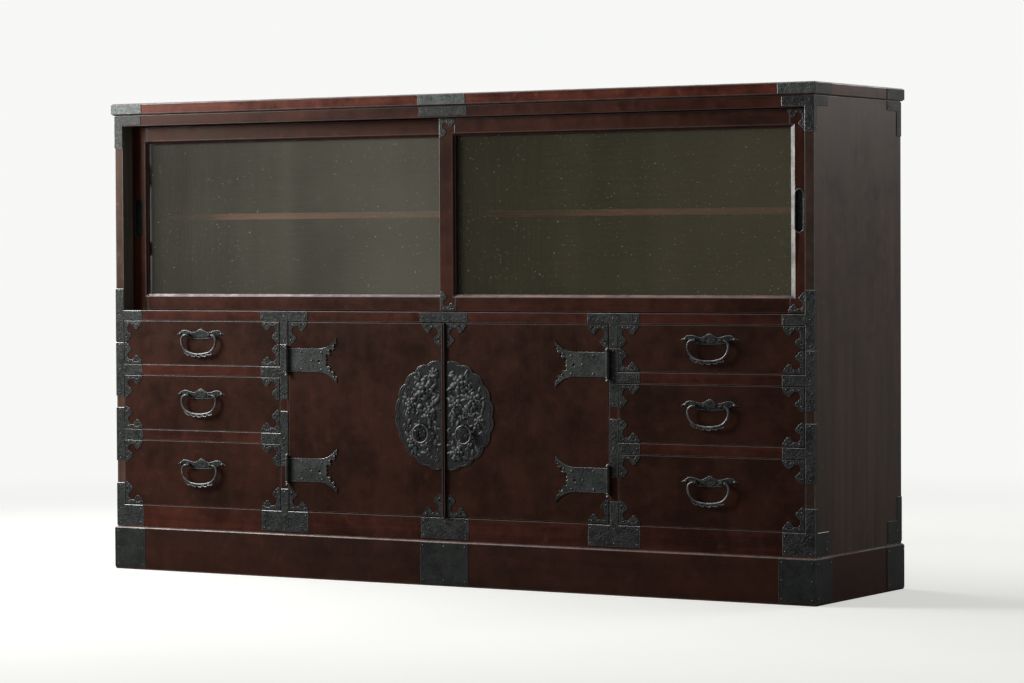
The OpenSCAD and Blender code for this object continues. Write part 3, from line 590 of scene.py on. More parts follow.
def smooth(piece, angle=60.0, weighted=False):
    """Shades a piece smooth except over sharp edges; weighted keeps its large faces flat."""
    take(piece)
    bpy.ops.object.shade_smooth_by_angle(angle=math.radians(angle))
    if weighted:
        bpy.ops.object.modifier_add(type="WEIGHTED_NORMAL")
        piece.modifiers[-1].keep_sharp = True
        bpy.ops.object.modifier_apply(modifier=piece.modifiers[-1].name)
    return piece


def belongs(piece, node, slot="iron"):
    """Ties a finished piece to the body of the CAD node that it stands for, and hides the node. The slot is
    not used.
    """
    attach(piece, BODY_OF[node])
    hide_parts(node)
    return piece


def copy_of(node, name, whole=True):
    """A copy of a CAD node, merged, and with its flat faces made whole unless they are to stay cut up."""
    piece = take(show(bpy.data.objects.new(name, NODES[node].data.copy())))
    piece.data.materials.clear()
    if piece.data.has_custom_normals:
        bpy.ops.mesh.customdata_custom_splitnormals_clear()
    edit(piece)
    everything()
    merge(CLOSE)
    face_out()
    if whole:
        bpy.ops.mesh.dissolve_limited(angle_limit=math.radians(0.6), delimit=set())
    done()
    return piece


def islands(shape):
    """The separate solids of a mesh, each as its faces."""
    left_over = set(shape.faces)
    while left_over:
        stack = [left_over.pop()]
        island = list(stack)
        while stack:
            for edge in stack.pop().edges:
                for face in edge.link_faces:
                    if face in left_over:
                        left_over.remove(face)
                        stack.append(face)
                        island.append(face)
        yield island


def lay_grain(piece):
    """Gives each board of a piece the material whose grain runs along the board."""
    shape = bmesh.from_edit_mesh(piece.data)
    for island in islands(shape):
        spots = [vert.co for face in island for vert in face.verts]
        spans = [max(s[axis] for s in spots) - min(s[axis] for s in spots) for axis in range(3)]
        for face in island:
            face.material_index = spans.index(max(spans))
    bmesh.update_edit_mesh(piece.data)


def bevel(width, material, profile):
    """Bevels the selected edges of the mesh being edited, in a material of their own."""
    bpy.ops.mesh.bevel(offset=width, offset_type="OFFSET", segments=2, profile=profile, affect="EDGES",
                       clamp_overlap=False, material=material)


def board(node, family, width, slot=None, shifts=()):
    """A wooden piece made from its CAD node: whole faces, grain along each board and worn edges.

    Each shift moves the verts between two places on X, its first two numbers, by the third.
    """
    piece = copy_of(node, node + "_wood")
    wear(piece, *(family + "_" + grain for grain in GRAINS), family + "_arris")
    edit(piece)
    for low, high, by in shifts:
        pick("verts", lambda vert: low < vert.co.x < high)
        shift((by, 0, 0))
    lay_grain(piece)
    pick("edges", lambda edge: False)
    bpy.ops.mesh.edges_select_sharp(sharpness=math.radians(30))
    bevel(width, ARRIS, 0.6)
    if pick("verts", lambda vert: vert.co.z < 0):
        stretch((1, 1, 0))
    done()
    return belongs(smooth(piece, 35.0, True), node, slot or family + "_wood")


def repaint(piece, name, test):
    """Gives the faces of a piece that pass test another material."""
    piece.data.materials.append(MATERIALS[name])
    edit(piece)
    pick("faces", test)
    piece.active_material_index = len(piece.data.materials) - 1
    bpy.ops.object.material_slot_assign()
    done()


def outer_rim(edge):
    """Whether an edge runs round the front of a plate, or round its outer face on a side of the body."""
    if not edge.is_manifold or not edge.is_convex or edge.calc_face_angle() < math.radians(50):
        return False
    beside = min(abs(vert.co.x) for vert in edge.verts) > (BODY_HALF + 1.0) * MM
    return any(face.normal.y < -0.9 or (beside and abs(face.normal.x) > 0.9) for face in edge.link_faces)


def refill(piece):
    """Cuts up anew those front faces of the piece being edited that the filed edges have folded over."""
    fronts, folds = {}, {}
    for face in bmesh.from_edit_mesh(piece.data).faces:
        if abs(face.normal.y) > 0.999:
            areas = fronts if face.normal.y < 0 else folds
            level = round(face.calc_center_median().y, 5)
            areas[level] = areas.get(level, 0.0) + face.calc_area()
    for level, area in fronts.items():
        if not 0 < folds.get(level, 0.0) < area:
            continue

        def here(spot):
            """Whether a spot lies on this level."""
            return abs(spot.y - level) < CLOSE

        pick("faces", lambda face: abs(face.normal.y) > 0.999 and here(face.calc_center_median()))
        bpy.ops.mesh.delete(type="FACE")
        pick("edges", lambda edge: edge.is_boundary and here(edge.verts[0].co) and here(edge.verts[1].co))
        bpy.ops.mesh.fill(use_beauty=True)
        if pick("faces", lambda face: face.normal.y > 0.999 and here(face.calc_center_median())):
            bpy.ops.mesh.flip_normals()


def iron_from(node, filed, dressing="iron", flatten=()):
    """An iron piece made from its CAD node, with filed edges; flatten holds tests of verts with moves."""
    piece = copy_of(node, node + "_work", False)
    wear(piece, dressing, "iron_dark_edge" if dressing in DARK_IRONS else "iron_edge")
    edit(piece)
    for test, move in flatten:
        pick("verts", test)
        shift(move)
        everything()
        merge(CLOSE)
    pick("edges", outer_rim)
    merge(0.6 * filed)
    pick("edges", outer_rim)
    bevel(filed, 1, 0.5)
    refill(piece)
    done()
    return smooth(piece, 20.0, True)


def mound(reach, place=(0, 0, 0), segments=10, rings=6, turn=(0, math.pi / 2, 0)):
    """A low swelling on a face: half a ball stretched to reach on X, Y and Z, its back at y = 0."""
    bpy.ops.mesh.primitive_uv_sphere_add(segments=segments, ring_count=rings, radius=1.0,
                                         location=(0, 0, 0), rotation=turn)
    piece = added()
    edit(piece)
    cut_away((0, 0, 0), (0, 1, 0))
    stretch(reach)
    shift(place)
    done()
    return piece


def rod(spots, thick, y=0.0):
    """A round rod that runs through spots: X and Z in millimetres and the share of its thickness."""
    data = bpy.data.curves.new("rod", "CURVE")
    data.dimensions = "3D"
    data.bevel_depth = thick
    data.bevel_resolution = 2
    data.use_fill_caps = True
    line = data.splines.new("POLY")
    line.points.add(len(spots) - 1)
    for point, (x, z, by) in zip(line.points, spots):
        point.co = (x * MM, y, z * MM, 1)
        point.radius = by
    take(show(bpy.data.objects.new("rod", data)))
    bpy.ops.object.convert(target="MESH")
    return bpy.context.object


def placed(model, matrix, name="copy"):
    """A copy of a model with its own mesh, at a place."""
    mesh = model.data.copy()
    mesh.transform(matrix)
    return show(bpy.data.objects.new(name, mesh))


def joined(first, *others):
    """Joins other pieces into the first one."""
    take(first)
    for other in others:
        other.select_set(True)
    bpy.ops.object.join()
    return first


def spread(model, spots, out=0.0):
    """Copies of a model at spots: X and Z in millimetres, turn in degrees and size, as one piece."""
    copies = []
    for x, z, turn, size in spots:
        matrix = Matrix.Translation((x * MM, -out, z * MM)) @ Matrix.Rotation(math.radians(-turn), 4, "Y")
        copies.append(placed(model, matrix @ Matrix.Scale(size, 4)))
    return joined(*copies)


def discard(*models):
    """Deletes the models that copies were made from."""
    for model in models:
        bpy.data.objects.remove(model)


# The models below face the front: their back is at y = 0 and they stand out towards -Y


def nail_model(radius, height):
    """A small domed nail head at the origin."""
    nail = mound((radius, height, radius), segments=8, turn=(math.pi / 2, 0, 0))
    return smooth(wear(nail, "iron_nail"))


def nails(model, spots):
    """Nails at spots, each a point in metres and a turn about Z from the front, as one piece."""
    return joined(*(placed(model, Matrix.Translation(spot) @ Matrix.Rotation(math.radians(turn), 4, "Z"))
                    for spot, turn in spots))


# The nails of a scalloped corner plate of 50 mm, from its corner
CORNER_NAILS = ((41, 5), (11, 5.4), (6, 39), (24, 6))
# The corners of these plates: from a drawer's middle and inside its opening, then on both kinds of door
CORNER_X = 217.2
CORNER_IN = 1.8
HINGED_X = 410.2
HINGED_Z = (151.3, 570.7)
SLIDING_X = (-15.5, 870.0)
SLIDING_Z = (599.5, 1014.5)


def corner_nails(xs, zs, size=50.0, y=-PLATE):
    """The nails of four scalloped plates, in the corners between two places on X and two heights."""
    by = size / 50.0
    return [(at(x + sx * u * by, y, z + sz * v * by), 0)
            for x, sx in zip(xs, (1, -1)) for z, sz in zip(zs, (1, -1)) for u, v in CORNER_NAILS]


def body_nail_spots():
    """The nails of the plates on the body, the top's edge and the plinth."""
    spots = []

    def row(xs, zs, y=-PLATE):
        spots.extend((at(x, y, z), 0) for x in xs for z in zs)

    stile = (INNER_HALF + BODY_HALF) / 2 + 1
    divider = (DIVIDER_IN + DIVIDER_OUT) / 2
    for side in (-1, 1):
        row((side * 889, side * 822), (TOP_NAILS,), TOP_FRONT)
        row((side * 890, side * 820), (12, 50, 87), PLINTH_FRONT)
        row((side * stile,), (1034, 974, 640, 585, 530, 192, 140, 106))
        row((side * 826,), (RAIL_NAILS, MID_NAILS))
        for level in ("middle", "high"):
            rail = OPEN_Z[level] - RAIL_H / 2
            row((side * stile, side * divider), (rail - 55, rail, rail + 56))
            row((side * 826, side * 480), (rail,))
        row((side * 826, side * 480, side * divider, side * 366), (140, 109))
        row((side * divider,), (192, MID_NAILS, 530))
        row((side * 480, side * 366), (MID_NAILS,))
        for y, z in ((55, RAIL_NAILS), (8, RAIL_NAILS), (7, 975), (392, RAIL_NAILS), (404, 980),
                     (355, RAIL_NAILS), (52, 127), (52, 112), (392, 127), (404, 190), (355, 127)):
            spots.append((at(side * (BODY_HALF + PLATE), y, z), side * 90))
        for y in (4, 64, 343, 412):
            spots.extend((at(side * (BODY_HALF + 4 + PLATE), y, z), side * 90) for z in (14, 85))
    row((-54, 0, 54), (RAIL_NAILS, MID_NAILS, 140.5, 110))
    row((-54, 0, 54), (TOP_NAILS,), TOP_FRONT)
    row((-54, 0, 54), (12, 87), PLINTH_FRONT)
    return spots


class SIDEBOARD_OT_finishes(Operator):
    """Make the materials of the sideboard"""
    bl_idname = "sideboard.finishes"
    bl_label = "Finishes"

    def execute(self, context):
        prepare_finishes(context.scene.sideboard_colours)
        return {"FINISHED"}


# The look of each board that shows, and the look and slot of each board inside
FRAME_BOARDS = {
    "top_board": "frame", "left_side": "side", "right_side": "side", "top_rail": "frieze",
    "mid_board": "frame", "bottom_rail": "frame", "left_divider": "frame", "right_divider": "frame",
    "drawer_rails": "frame", "plinth": "foot", "left_slide_frame": "sash", "right_slide_frame": "sash",
}
INNER_BOARDS = {
    "bottom_board": ("inner", "inner_wood"), "drawer_runners": ("inner", "inner_wood"),
    "shelves": ("shelf", "inner_wood"), "upper_partition": ("back", "inner_wood"),
    "back_panels": ("back", "back_wood"),
}
# Boards whose front faces get a lighter lacquer of their own: painted light on both, with wear too on the
# top's front
LIT_FRONTS = {"top_board": "worn_x", "left_side": "dry_z"}
# Boards whose inner face takes the pale grey of the back, a painted reflection that lightens the shaded
# recess, and the way on X that it looks
SHEEN_WALLS = {"left_side": 1, "right_side": -1}
# The stiles of the sliding doors that are wider round the glass: where their verts lie on X, and the move
WIDE_STILES = {
    "left_slide_frame": ((-0.8428, -0.8368, 0.0075),),
    "right_slide_frame": ((0.0117, 0.0178, 0.0045), (0.8365, 0.8373, -0.0045)),
}


def bevel_of(face, way, least):
    """Whether a face is a long slope of a sliding door's frame, forwards and at least so far along way."""
    return face.normal.y < -0.5 and face.normal.dot(way) > least and face.calc_area() > 0.002


class SIDEBOARD_OT_boards(Operator):
    """Finish the boards of the body, inside and out, and the frames of the sliding doors"""
    bl_idname = "sideboard.boards"
    bl_label = "Boards of the body"

    def execute(self, context):
        sizes = context.scene.sideboard_sizes
        for node, family in FRAME_BOARDS.items():
            piece = board(node, family, sizes.board_ease, "frame_wood", WIDE_STILES.get(node, ()))
            if node in SHEEN_WALLS:
                # The inner face is painted pale grey: painted reflection
                repaint(piece, "back_z", lambda face: face.normal.x * SHEEN_WALLS[node] > 0.95)
            if family == "sash":
                bead = node.split("_")[0] + "_bead"
                # Slopes facing up under the glass take the bead colour: painted highlight
                repaint(piece, bead, lambda face: bevel_of(face, Vector((0, 0, 1)), 0.5))
                if node == "right_slide_frame":
                    # Slopes of this frame facing left take the pane edge colour: painted highlight
                    repaint(piece, "pane_edge", lambda face: bevel_of(face, Vector((-1, 0, 0)), 0.3))
            elif node == "plinth":
                repaint(piece, "foot_y",
                        lambda face: abs(face.normal.x) > 0.3 and face.material_index == ARRIS)
            elif node in LIT_FRONTS:
                # The front faces take the lighter lacquer: painted light
                repaint(piece, LIT_FRONTS[node],
                        lambda face: face.normal.y < -0.95 and face.material_index < ARRIS)
        for node, (family, slot) in INNER_BOARDS.items():
            board(node, family, sizes.inner_ease, slot)
        return {"FINISHED"}


class SIDEBOARD_OT_fronts(Operator):
    """Finish the hinged doors, their batten, the drawer fronts and the drawers behind them"""
    bl_idname = "sideboard.fronts"
    bl_label = "Doors and drawers"

    def execute(self, context):
        sizes = context.scene.sideboard_sizes
        for node, family in (("left_door_panel", "panel"), ("right_door_panel", "panel"),
                             ("meeting_batten", "batten")):
            board(node, family, sizes.panel_ease, "panel_wood")
        for drawer, *_ in DRAWERS:
            board(drawer + "_front", "panel", sizes.panel_ease)
            board(drawer + "_box", "drawer", sizes.inner_ease)
        return {"FINISHED"}


class SIDEBOARD_OT_plates(Operator):
    """Finish the iron plates on the body, the top and the plinth, with their nails"""
    bl_idname = "sideboard.plates"
    bl_label = "Plates on the body"

    def execute(self, context):
        sizes = context.scene.sideboard_sizes
        dressings = {
            # The top plates take a lighter iron, painted sheen; the plinth plates a darker one, painted shade
            "top_plates": "iron_pale", "frame_plates": "iron", "plinth_plates": "iron_low",
            "hinge_leaves": "iron",
        }

        def beside(face):
            """Whether a face looks out from a side of the body."""
            return abs(face.normal.x) > 0.9 and abs(face.calc_center_median().x) > BODY_HALF * MM

        for node, dressing in dressings.items():
            piece = iron_from(node, sizes.plate_ease, dressing)
            # Faces on the sides of the body take the darker iron: painted shade
            repaint(piece, "iron_low", beside)
            belongs(piece, node)
        model = nail_model(sizes.nail_r, sizes.nail_h)
        heads = nails(model, body_nail_spots())
        heads.name = "body_nails"
        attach(heads, "carcase")
        discard(model)
        return {"FINISHED"}


# Raised edges of a handle plate: X and Z from its middle and the share of their thickness
WING_EDGE = (
    (20, 22.6, 0.7), (28, 23.9, 0.9), (38, 26.7, 1.0), (47, 27.4, 1.1), (53.5, 25.8, 1.0), (59, 21.8, 0.8),
    (66, 18.4, 0.4),
)
CREST_HALF = ((4.5, 29.6, 1.0), (8.5, 27.6, 1.0), (13.5, 24.9, 0.9), (19, 22.8, 0.6))
CREST_EDGE = (*((-x, z, by) for x, z, by in reversed(CREST_HALF)), (0, 30.4, 1.1), *CREST_HALF)
FOOT_EDGE = ((-27, 10.4, 0.4), (-18, 9.6, 0.8), (0, 9.2, 0.9), (18, 9.6, 0.8), (27, 10.4, 0.4))


def handle_relief_model(edge_r):
    """The raised work of a handle plate about the plate's middle: crest, foot, wing edges and tips."""
    crest = mound((0.0170, 0.0013, 0.0100), (0, 0, 0.0188), 16, 12)
    edit(crest)
    pick("verts", lambda vert: vert.co.y < -0.0010)
    shift((0, 0.0007, 0))
    done()
    parts = [rod(CREST_EDGE, edge_r), rod(FOOT_EDGE, edge_r)]
    for sign in (-1, 1):
        parts.append(rod([(sign * x, z, by) for x, z, by in WING_EDGE], edge_r))
        parts.append(mound((0.0036, 0.0028, 0.0034), (sign * 0.0575, 0, 0.0200), rings=8))
    for part in parts:
        smooth(wear(part, "iron_wire"))
    wear(parts[1], "iron_relief")
    return joined(smooth(wear(crest, "iron_dark")), *parts)


class SIDEBOARD_OT_drawer_iron(Operator):
    """Model one set of handle plate, posts and corner plates for each drawer, with nails"""
    bl_idname = "sideboard.drawer_iron"
    bl_label = "Ironwork of the drawers"

    def execute(self, context):
        sizes = context.scene.sideboard_sizes
        model = nail_model(sizes.nail_r, sizes.nail_h)
        relief = handle_relief_model(sizes.relief_edge)
        for drawer, x, level in DRAWERS:
            piece = iron_from(drawer + "_iron", sizes.scallop_ease, "iron_dark")
            zs = (OPEN_Z[level] + CORNER_IN, OPEN_Z[level] + OPEN_H[level] - CORNER_IN)
            heads = corner_nails((x - CORNER_X, x + CORNER_X), zs, min(50.0, OPEN_H[level] / 2 - 2.6))
            middle = Matrix.Translation(at(x, -PLATE, HANDLE_Z[level]))
            joined(piece, nails(model, heads), placed(relief, middle))
            belongs(piece, drawer + "_iron")
        discard(model, relief)
        return {"FINISHED"}


def bail_model(radius, drop, nubs):
    """One bail, its axis along X through the origin, hanging down, with pierced nubs under its belly."""
    shoulder_x, shoulder_r, flank_r = 0.036, 0.012, 0.029
    flank_x = shoulder_x + shoulder_r - flank_r
    turn = math.radians(75)
    belly_r = (flank_x + flank_r * math.cos(turn)) / math.cos(turn)
    belly_z = -shoulder_r + (belly_r - flank_r) * math.sin(turn)
    end_x = 0.0275
    bpy.ops.mesh.primitive_circle_add(vertices=12, radius=radius, location=(end_x, 0, 0),
                                      rotation=(0, math.pi / 2, 0))
    bail = added()
    edit(bail)
    everything()
    bpy.ops.mesh.extrude_region_move(TRANSFORM_OT_translate={"value": (shoulder_x - end_x, 0, 0)})
    sweep(8, -math.pi / 2, shoulder_x, -shoulder_r)
    sweep(10, -turn, flank_x, -shoulder_r)
    sweep(12, turn - math.pi / 2, 0, belly_z)
    # The thickened end between the posts
    pick("verts", lambda vert: abs(vert.co.x - end_x) < 1e-6)
    for step, by in ((0.002, 1.25), (0.002, 1), (0.0012, 0.5)):
        bpy.ops.mesh.extrude_region_move(TRANSFORM_OT_translate={"value": (-step, 0, 0)})
        end_x -= step
        stretch((1, by, by), (end_x, 0, 0))
    bpy.ops.mesh.edge_face_add()
    done()
    take(bail)
    bpy.ops.object.modifier_add(type="MIRROR")
    bail.modifiers[-1].merge_threshold = 0.0001
    bpy.ops.object.modifier_apply(modifier=bail.modifiers[-1].name)
    edit(bail)
    everything()
    merge(0.00005)
    face_out()
    done()
    strand = []
    pitch = 0.0152 / belly_r
    for step in range(nubs * 8 + 1):
        bulge = abs(math.sin(math.pi * step / 8)) ** 0.8
        away = belly_r + radius * 0.7 + (drop - radius * 0.7) * bulge
        lean = (step / 8 - nubs / 2) * pitch + 0.07 * (bulge - 0.5)
        spot = (math.sin(lean) * away / MM, (belly_z - math.cos(lean) * away) / MM)
        strand.append((*spot, 0.75 + 0.35 * bulge))
    joined(bail, rod(strand, radius * 0.56))
    return smooth(wear(bail, "iron_wire"), 50.0)


class SIDEBOARD_OT_bails(Operator):
    """Model the bail of a drawer handle by spinning its wire, and copy it to each drawer"""
    bl_idname = "sideboard.bails"
    bl_label = "Bails"

    def execute(self, context):
        sizes = context.scene.sideboard_sizes
        model = bail_model(sizes.bail_r, sizes.nub_drop, sizes.nubs)
        for drawer, x, level in DRAWERS:
            place = Matrix.Translation(at(x, -10, HANDLE_Z[level] + 17.5))
            belongs(placed(model, place, drawer + "_bail_work"), drawer + "_bail")
        discard(model)
        return {"FINISHED"}


def petal_ring(count, reach, size, first=0.0):
    """Spots of the petals of one ring, for spread."""
    turns = [first + 360 / count * k for k in range(count)]
    return [(reach * math.cos(math.radians(turn)), reach * math.sin(math.radians(turn)), turn, size)
            for turn in turns]


def bloom_model():
    """A flower seen from the front: two rings of cupped petals round a heart of small beads."""
    petal = mound((0.0062, 0.0026, 0.0046), segments=8)
    edit(petal)
    pick("verts", lambda vert: vert.co.x > 0.0015)
    stretch((1, 1.4, 1.25), (0.0015, 0, 0))
    pick("verts", lambda vert: abs(vert.co.z) < 0.001 and vert.co.x > -0.004 and vert.co.y < -0.0006)
    shift((0, 0.0016, 0))
    done()
    bead = mound((0.0013, 0.0022, 0.0013), segments=6, rings=4)
    outer = spread(petal, petal_ring(6, 8.2, 1.0))
    inner = spread(petal, petal_ring(5, 4.4, 0.66, 20.0), 0.0014)
    heart = spread(bead, [(0, 0, 0, 1.3)] + petal_ring(5, 2.0, 0.8), 0.0022)
    discard(petal, bead)
    return joined(outer, inner, heart)


def leaf_model():
    """A pointed leaf with a raised rib, its stalk at the origin and its tip along X."""
    leaf = mound((0.0105, 0.0019, 0.0052), (0.0105, 0, 0), 8, 8)
    edit(leaf)
    pick("verts", lambda vert: abs(vert.co.z) < 0.0008 and vert.co.y < -0.0004)
    shift((0, -0.0005, 0))
    pick("verts", lambda vert: vert.co.x > 0.013)
    shift((0.002, 0, 0.0012))
    done()
    return leaf


def curl_model(reach, thick):
    """A scroll in three half turns that close in on each other."""
    bpy.ops.mesh.primitive_circle_add(vertices=6, radius=thick, location=(reach, 0, 0))
    curl = added()
    edit(curl)
    everything()
    end, radius, way = reach, reach, -1
    for _ in range(3):
        middle = end + way * radius
        sweep(6, math.pi, middle, 0)
        end = middle + way * radius
        stretch((0.86, 0.86, 0.86), (end, 0, 0))
        radius *= 0.62
        way = -way
    everything()
    face_out()
    done()
    return curl


# The relief of the round iron, each half on its own: X outwards and Z up from its middle, turn and size
BLOOMS = {
    "right": ((42, 68, 10, 1.6), (78, 34, 40, 1.4), (31, 20, 0, 1.3), (91, -14, 30, 1.0), (33, -82, 0, 1.3)),
    "left": ((48, 58, 20, 1.7), (84, 22, 0, 1.2), (24, 92, 15, 0.9), (36, 4, 30, 1.3), (78, -60, 10, 1.3)),
}
LEAVES = {
    "right": (
        (52, 84, 50, 0.9), (26, 62, 200, 0.9), (54, 60, -20, 0.8), (62, 40, 160, 0.9), (88, 50, 60, 0.7),
        (74, 22, -100, 0.9), (20, 32, 150, 0.7), (46, 18, -40, 0.9), (24, 10, 230, 0.8), (36, 42, 80, 0.8),
        (84, -20, -120, 0.9), (96, 2, 70, 0.7), (78, -2, 160, 0.7), (20, -80, 190, 0.6), (46, -86, -30, 0.9),
        (34, -68, 60, 0.8), (80, -62, -60, 1.0), (86, -40, 20, 0.7), (20, -18, 70, 0.9), (16, -44, 110, 0.7),
    ),
    "left": (
        (60, 72, 40, 0.9), (60, 50, -30, 0.9), (32, 50, 210, 0.8), (40, 76, 120, 0.8), (70, 20, 200, 0.8),
        (92, 36, 60, 0.7), (90, 14, -60, 0.8), (50, 6, 20, 1.0), (24, -12, 230, 0.8), (30, 16, 110, 0.9),
        (62, -66, 190, 1.0), (88, -50, 50, 0.8), (80, -74, -80, 0.7), (18, -40, 80, 0.8), (22, -72, 100, 0.9),
        (40, -84, 10, 0.9), (94, -14, 80, 0.8), (16, 66, 70, 0.8), (14, 30, 100, 0.7), (56, -92, 30, 0.6),
    ),
}
CURLS = {
    "right": (
        (62, 76, 0, 0.8), (98, 22, 60, 0.7), (58, 4, 120, 1.0), (16, 48, 200, 0.8), (62, -76, 10, 0.9),
        (98, -36, 90, 0.7), (18, -62, 270, 0.9), (16, -4, 30, 0.7), (20, 88, 180, 0.8), (54, -96, 40, 0.7),
    ),
    "left": (
        (66, 84, 20, 0.7), (98, 4, 80, 0.8), (60, 30, 140, 0.9), (16, 10, 210, 0.8), (20, -92, 10, 0.8),
        (96, -34, 70, 0.8), (34, -60, 300, 0.9), (14, 50, 40, 0.7), (88, 56, 100, 0.7), (50, -76, 60, 0.7),
    ),
}
# The scalloped edge: the lobes' number, radius and distance from the middle, in millimetres
MEDAL_LOBES = 20
LOBE_R = 28.2
LOBE_AWAY = 91.8


def medallion_rim(sign, edge):
    """The raised line round half the round iron, which follows its scallops."""
    spots = []
    for step in range(-90, 91, 2):
        from_lobe = math.radians((step % (360 / MEDAL_LOBES)) - 180 / MEDAL_LOBES)
        beyond = math.sqrt(LOBE_R ** 2 - (LOBE_AWAY * math.sin(from_lobe)) ** 2)
        away = LOBE_AWAY * math.cos(from_lobe) + beyond - 1.0
        x = away * math.cos(math.radians(step))
        if x > edge + 1:
            spots.append((sign * x, away * math.sin(math.radians(step)), 1.0))
    return rod(spots, 0.8 * MM, -0.1 * MM)


def filling(edge, count, reach, size):
    """Spots that fill half the round iron evenly, clear of its edges and of the ring's hub."""
    spots = []
    for k in range(count):
        away, turn = reach * math.sqrt((k + 0.5) / count), math.radians(137.508 * k + 40)
        x, z = away * math.cos(turn), away * math.sin(turn)
        if x > edge + 8 and math.hypot(x - RING_X, z + 38) > 24:
            spots.append((x, z, (k * 61) % 360, size * (0.7 + 0.25 * (k % 3))))
    return spots


def medallion_relief(side, sign, edge):
    """Flowers, leaves and scrolls of half the round iron, cut off at its straight edge."""
    bloom, leaf, curl = bloom_model(), leaf_model(), curl_model(0.0072, 0.0017)
    bead = mound((0.0019, 0.0018, 0.0019), segments=8)
    hill = mound((0.0085, 0.0025, 0.0050), rings=8)
    models = (bloom, leaf, curl, bead, hill)
    for model in models:
        smooth(wear(model, "iron_relief"), 70.0)
    beads = [(x + 9 * math.cos(turn), z + 9 * math.sin(turn), 0, 0.9)
             for x, z, turn, size in CURLS[side] for turn in (turn, turn + 0.5, turn + 1.0)]
    parts = [smooth(wear(medallion_rim(sign, edge), "iron_relief"))]
    for model, spots in ((bloom, BLOOMS[side]), (leaf, LEAVES[side]), (curl, CURLS[side]), (bead, beads),
                         (leaf, filling(edge, 150, 104, 0.65)), (hill, filling(edge, 60, 96, 1.0))):
        parts.append(spread(model, [(sign * x, z, turn if sign > 0 else 180 - turn, size)
                                    for x, z, turn, size in spots]))
    discard(*models)
    piece = joined(*parts)
    edit(piece)
    cut_away((sign * edge * MM, 0, 0), (-sign, 0, 0))
    shift(at(0, -2.0, MEDAL_Z))
    done()
    return piece


# Height of the middle of a hinged door's straps, and how far they reach from it, in metres
STRAP_MID = 0.362
STRAP_REACH = 0.154
# Studs of a hinge strap: X from the middle of the sideboard and height over the middle of the hinge
STRAP_STUDS = (
    (375, 19), (375, -20), (321, 18), (321, -20), (348, -1), (301, 22), (288, 32.5), (299, -23), (287, -36),
)


class SIDEBOARD_OT_door_iron(Operator):
    """Finish straps, hinges, corner plates and the round iron of the hinged doors"""
    bl_idname = "sideboard.door_iron"
    bl_label = "Ironwork of the doors"

    def execute(self, context):
        sizes = context.scene.sideboard_sizes
        model = nail_model(sizes.nail_r, sizes.nail_h)
        stud = nail_model(sizes.nail_r * 1.35, sizes.nail_h * 1.7)
        # The finial takes the light edge iron: rubbed metal and painted highlight
        finial = smooth(wear(mound((0.0050, 0.0030, 0.0022), rings=8), "iron_edge"))
        for side, sign in SIDES.items():
            node = side + "_door_iron"
            edge = MEDAL_EDGE[side]
            piece = iron_from(node, sizes.scallop_ease * 0.9, "iron_strap")
            repaint(piece, "iron_dark",
                    lambda face: abs(face.calc_center_median().z - STRAP_MID) > STRAP_REACH)
            studs = [(at(sign * x, -2.0, z + up), 0) for z in HINGE_Z for x, up in STRAP_STUDS]
            knobs = [(sign * DIVIDER_IN, z + up, 40, 1.0) for z in HINGE_Z for up in (-33, 33)]
            heads = corner_nails(sorted((sign * (edge + 0.8), sign * HINGED_X)), HINGED_Z)
            joined(piece, nails(model, heads), nails(stud, studs), spread(finial, knobs, 8 * MM - FRONT))
            belongs(piece, node)
            medal = side + "_medallion"
            hub = at(sign * RING_X, 0, RING_Z)

            def beyond(level):
                """A test of verts further out than level, in metres, and away from the ring's lug."""
                return lambda vert: (vert.co.y < FRONT - level
                                     and math.hypot(vert.co.x - hub.x, vert.co.z - hub.z) > 0.026)

            lower = ((beyond(0.0043), (0, 0.0030, 0)), (beyond(0.0031), (0, 0.0014, 0)))
            disc = iron_from(medal, sizes.plate_ease, "iron_disc", lower)
            belongs(joined(disc, medallion_relief(side, sign, edge + 2)), medal)
        discard(model, stud, finial)
        return {"FINISHED"}


class SIDEBOARD_OT_sliding_iron(Operator):
    """Finish the corner plates and finger pulls of the sliding doors"""
    bl_idname = "sideboard.sliding_iron"
    bl_label = "Ironwork of the sliding doors"

    def execute(self, context):
        sizes = context.scene.sideboard_sizes
        model = nail_model(sizes.nail_r, sizes.nail_h)
        piece = iron_from("right_slide_iron", sizes.scallop_ease * 0.9)
        heads = corner_nails(SLIDING_X, SLIDING_Z, 41.0, 12 - PLATE)
        belongs(joined(piece, nails(model, heads)), "right_slide_iron")
        # The pull in the shaded recess takes the darker iron, on its edges too: painted shade
        pull = iron_from("left_slide_pull", sizes.scallop_ease, "iron_low")
        pull.data.materials[1] = MATERIALS["iron_low"]
        belongs(pull, "left_slide_pull")
        discard(model)
        return {"FINISHED"}


class SIDEBOARD_OT_kept_nodes(Operator):
    """Give the parts that stay as they are their materials: glass, rings, pegs and catches"""
    bl_idname = "sideboard.kept_nodes"
    bl_label = "Glass, rings and small parts"

    def execute(self, context):
        kept = {
            "left_slide_glass": "left_glass", "right_slide_glass": "right_glass", "left_ring": "iron_wire",
            "right_ring": "iron_wire", "shelf_pegs": "iron_plain", "door_catches": "iron_plain",
        }
        for node, name in kept.items():
            NODES[node].data.materials[0] = MATERIALS[name]
        return {"FINISHED"}


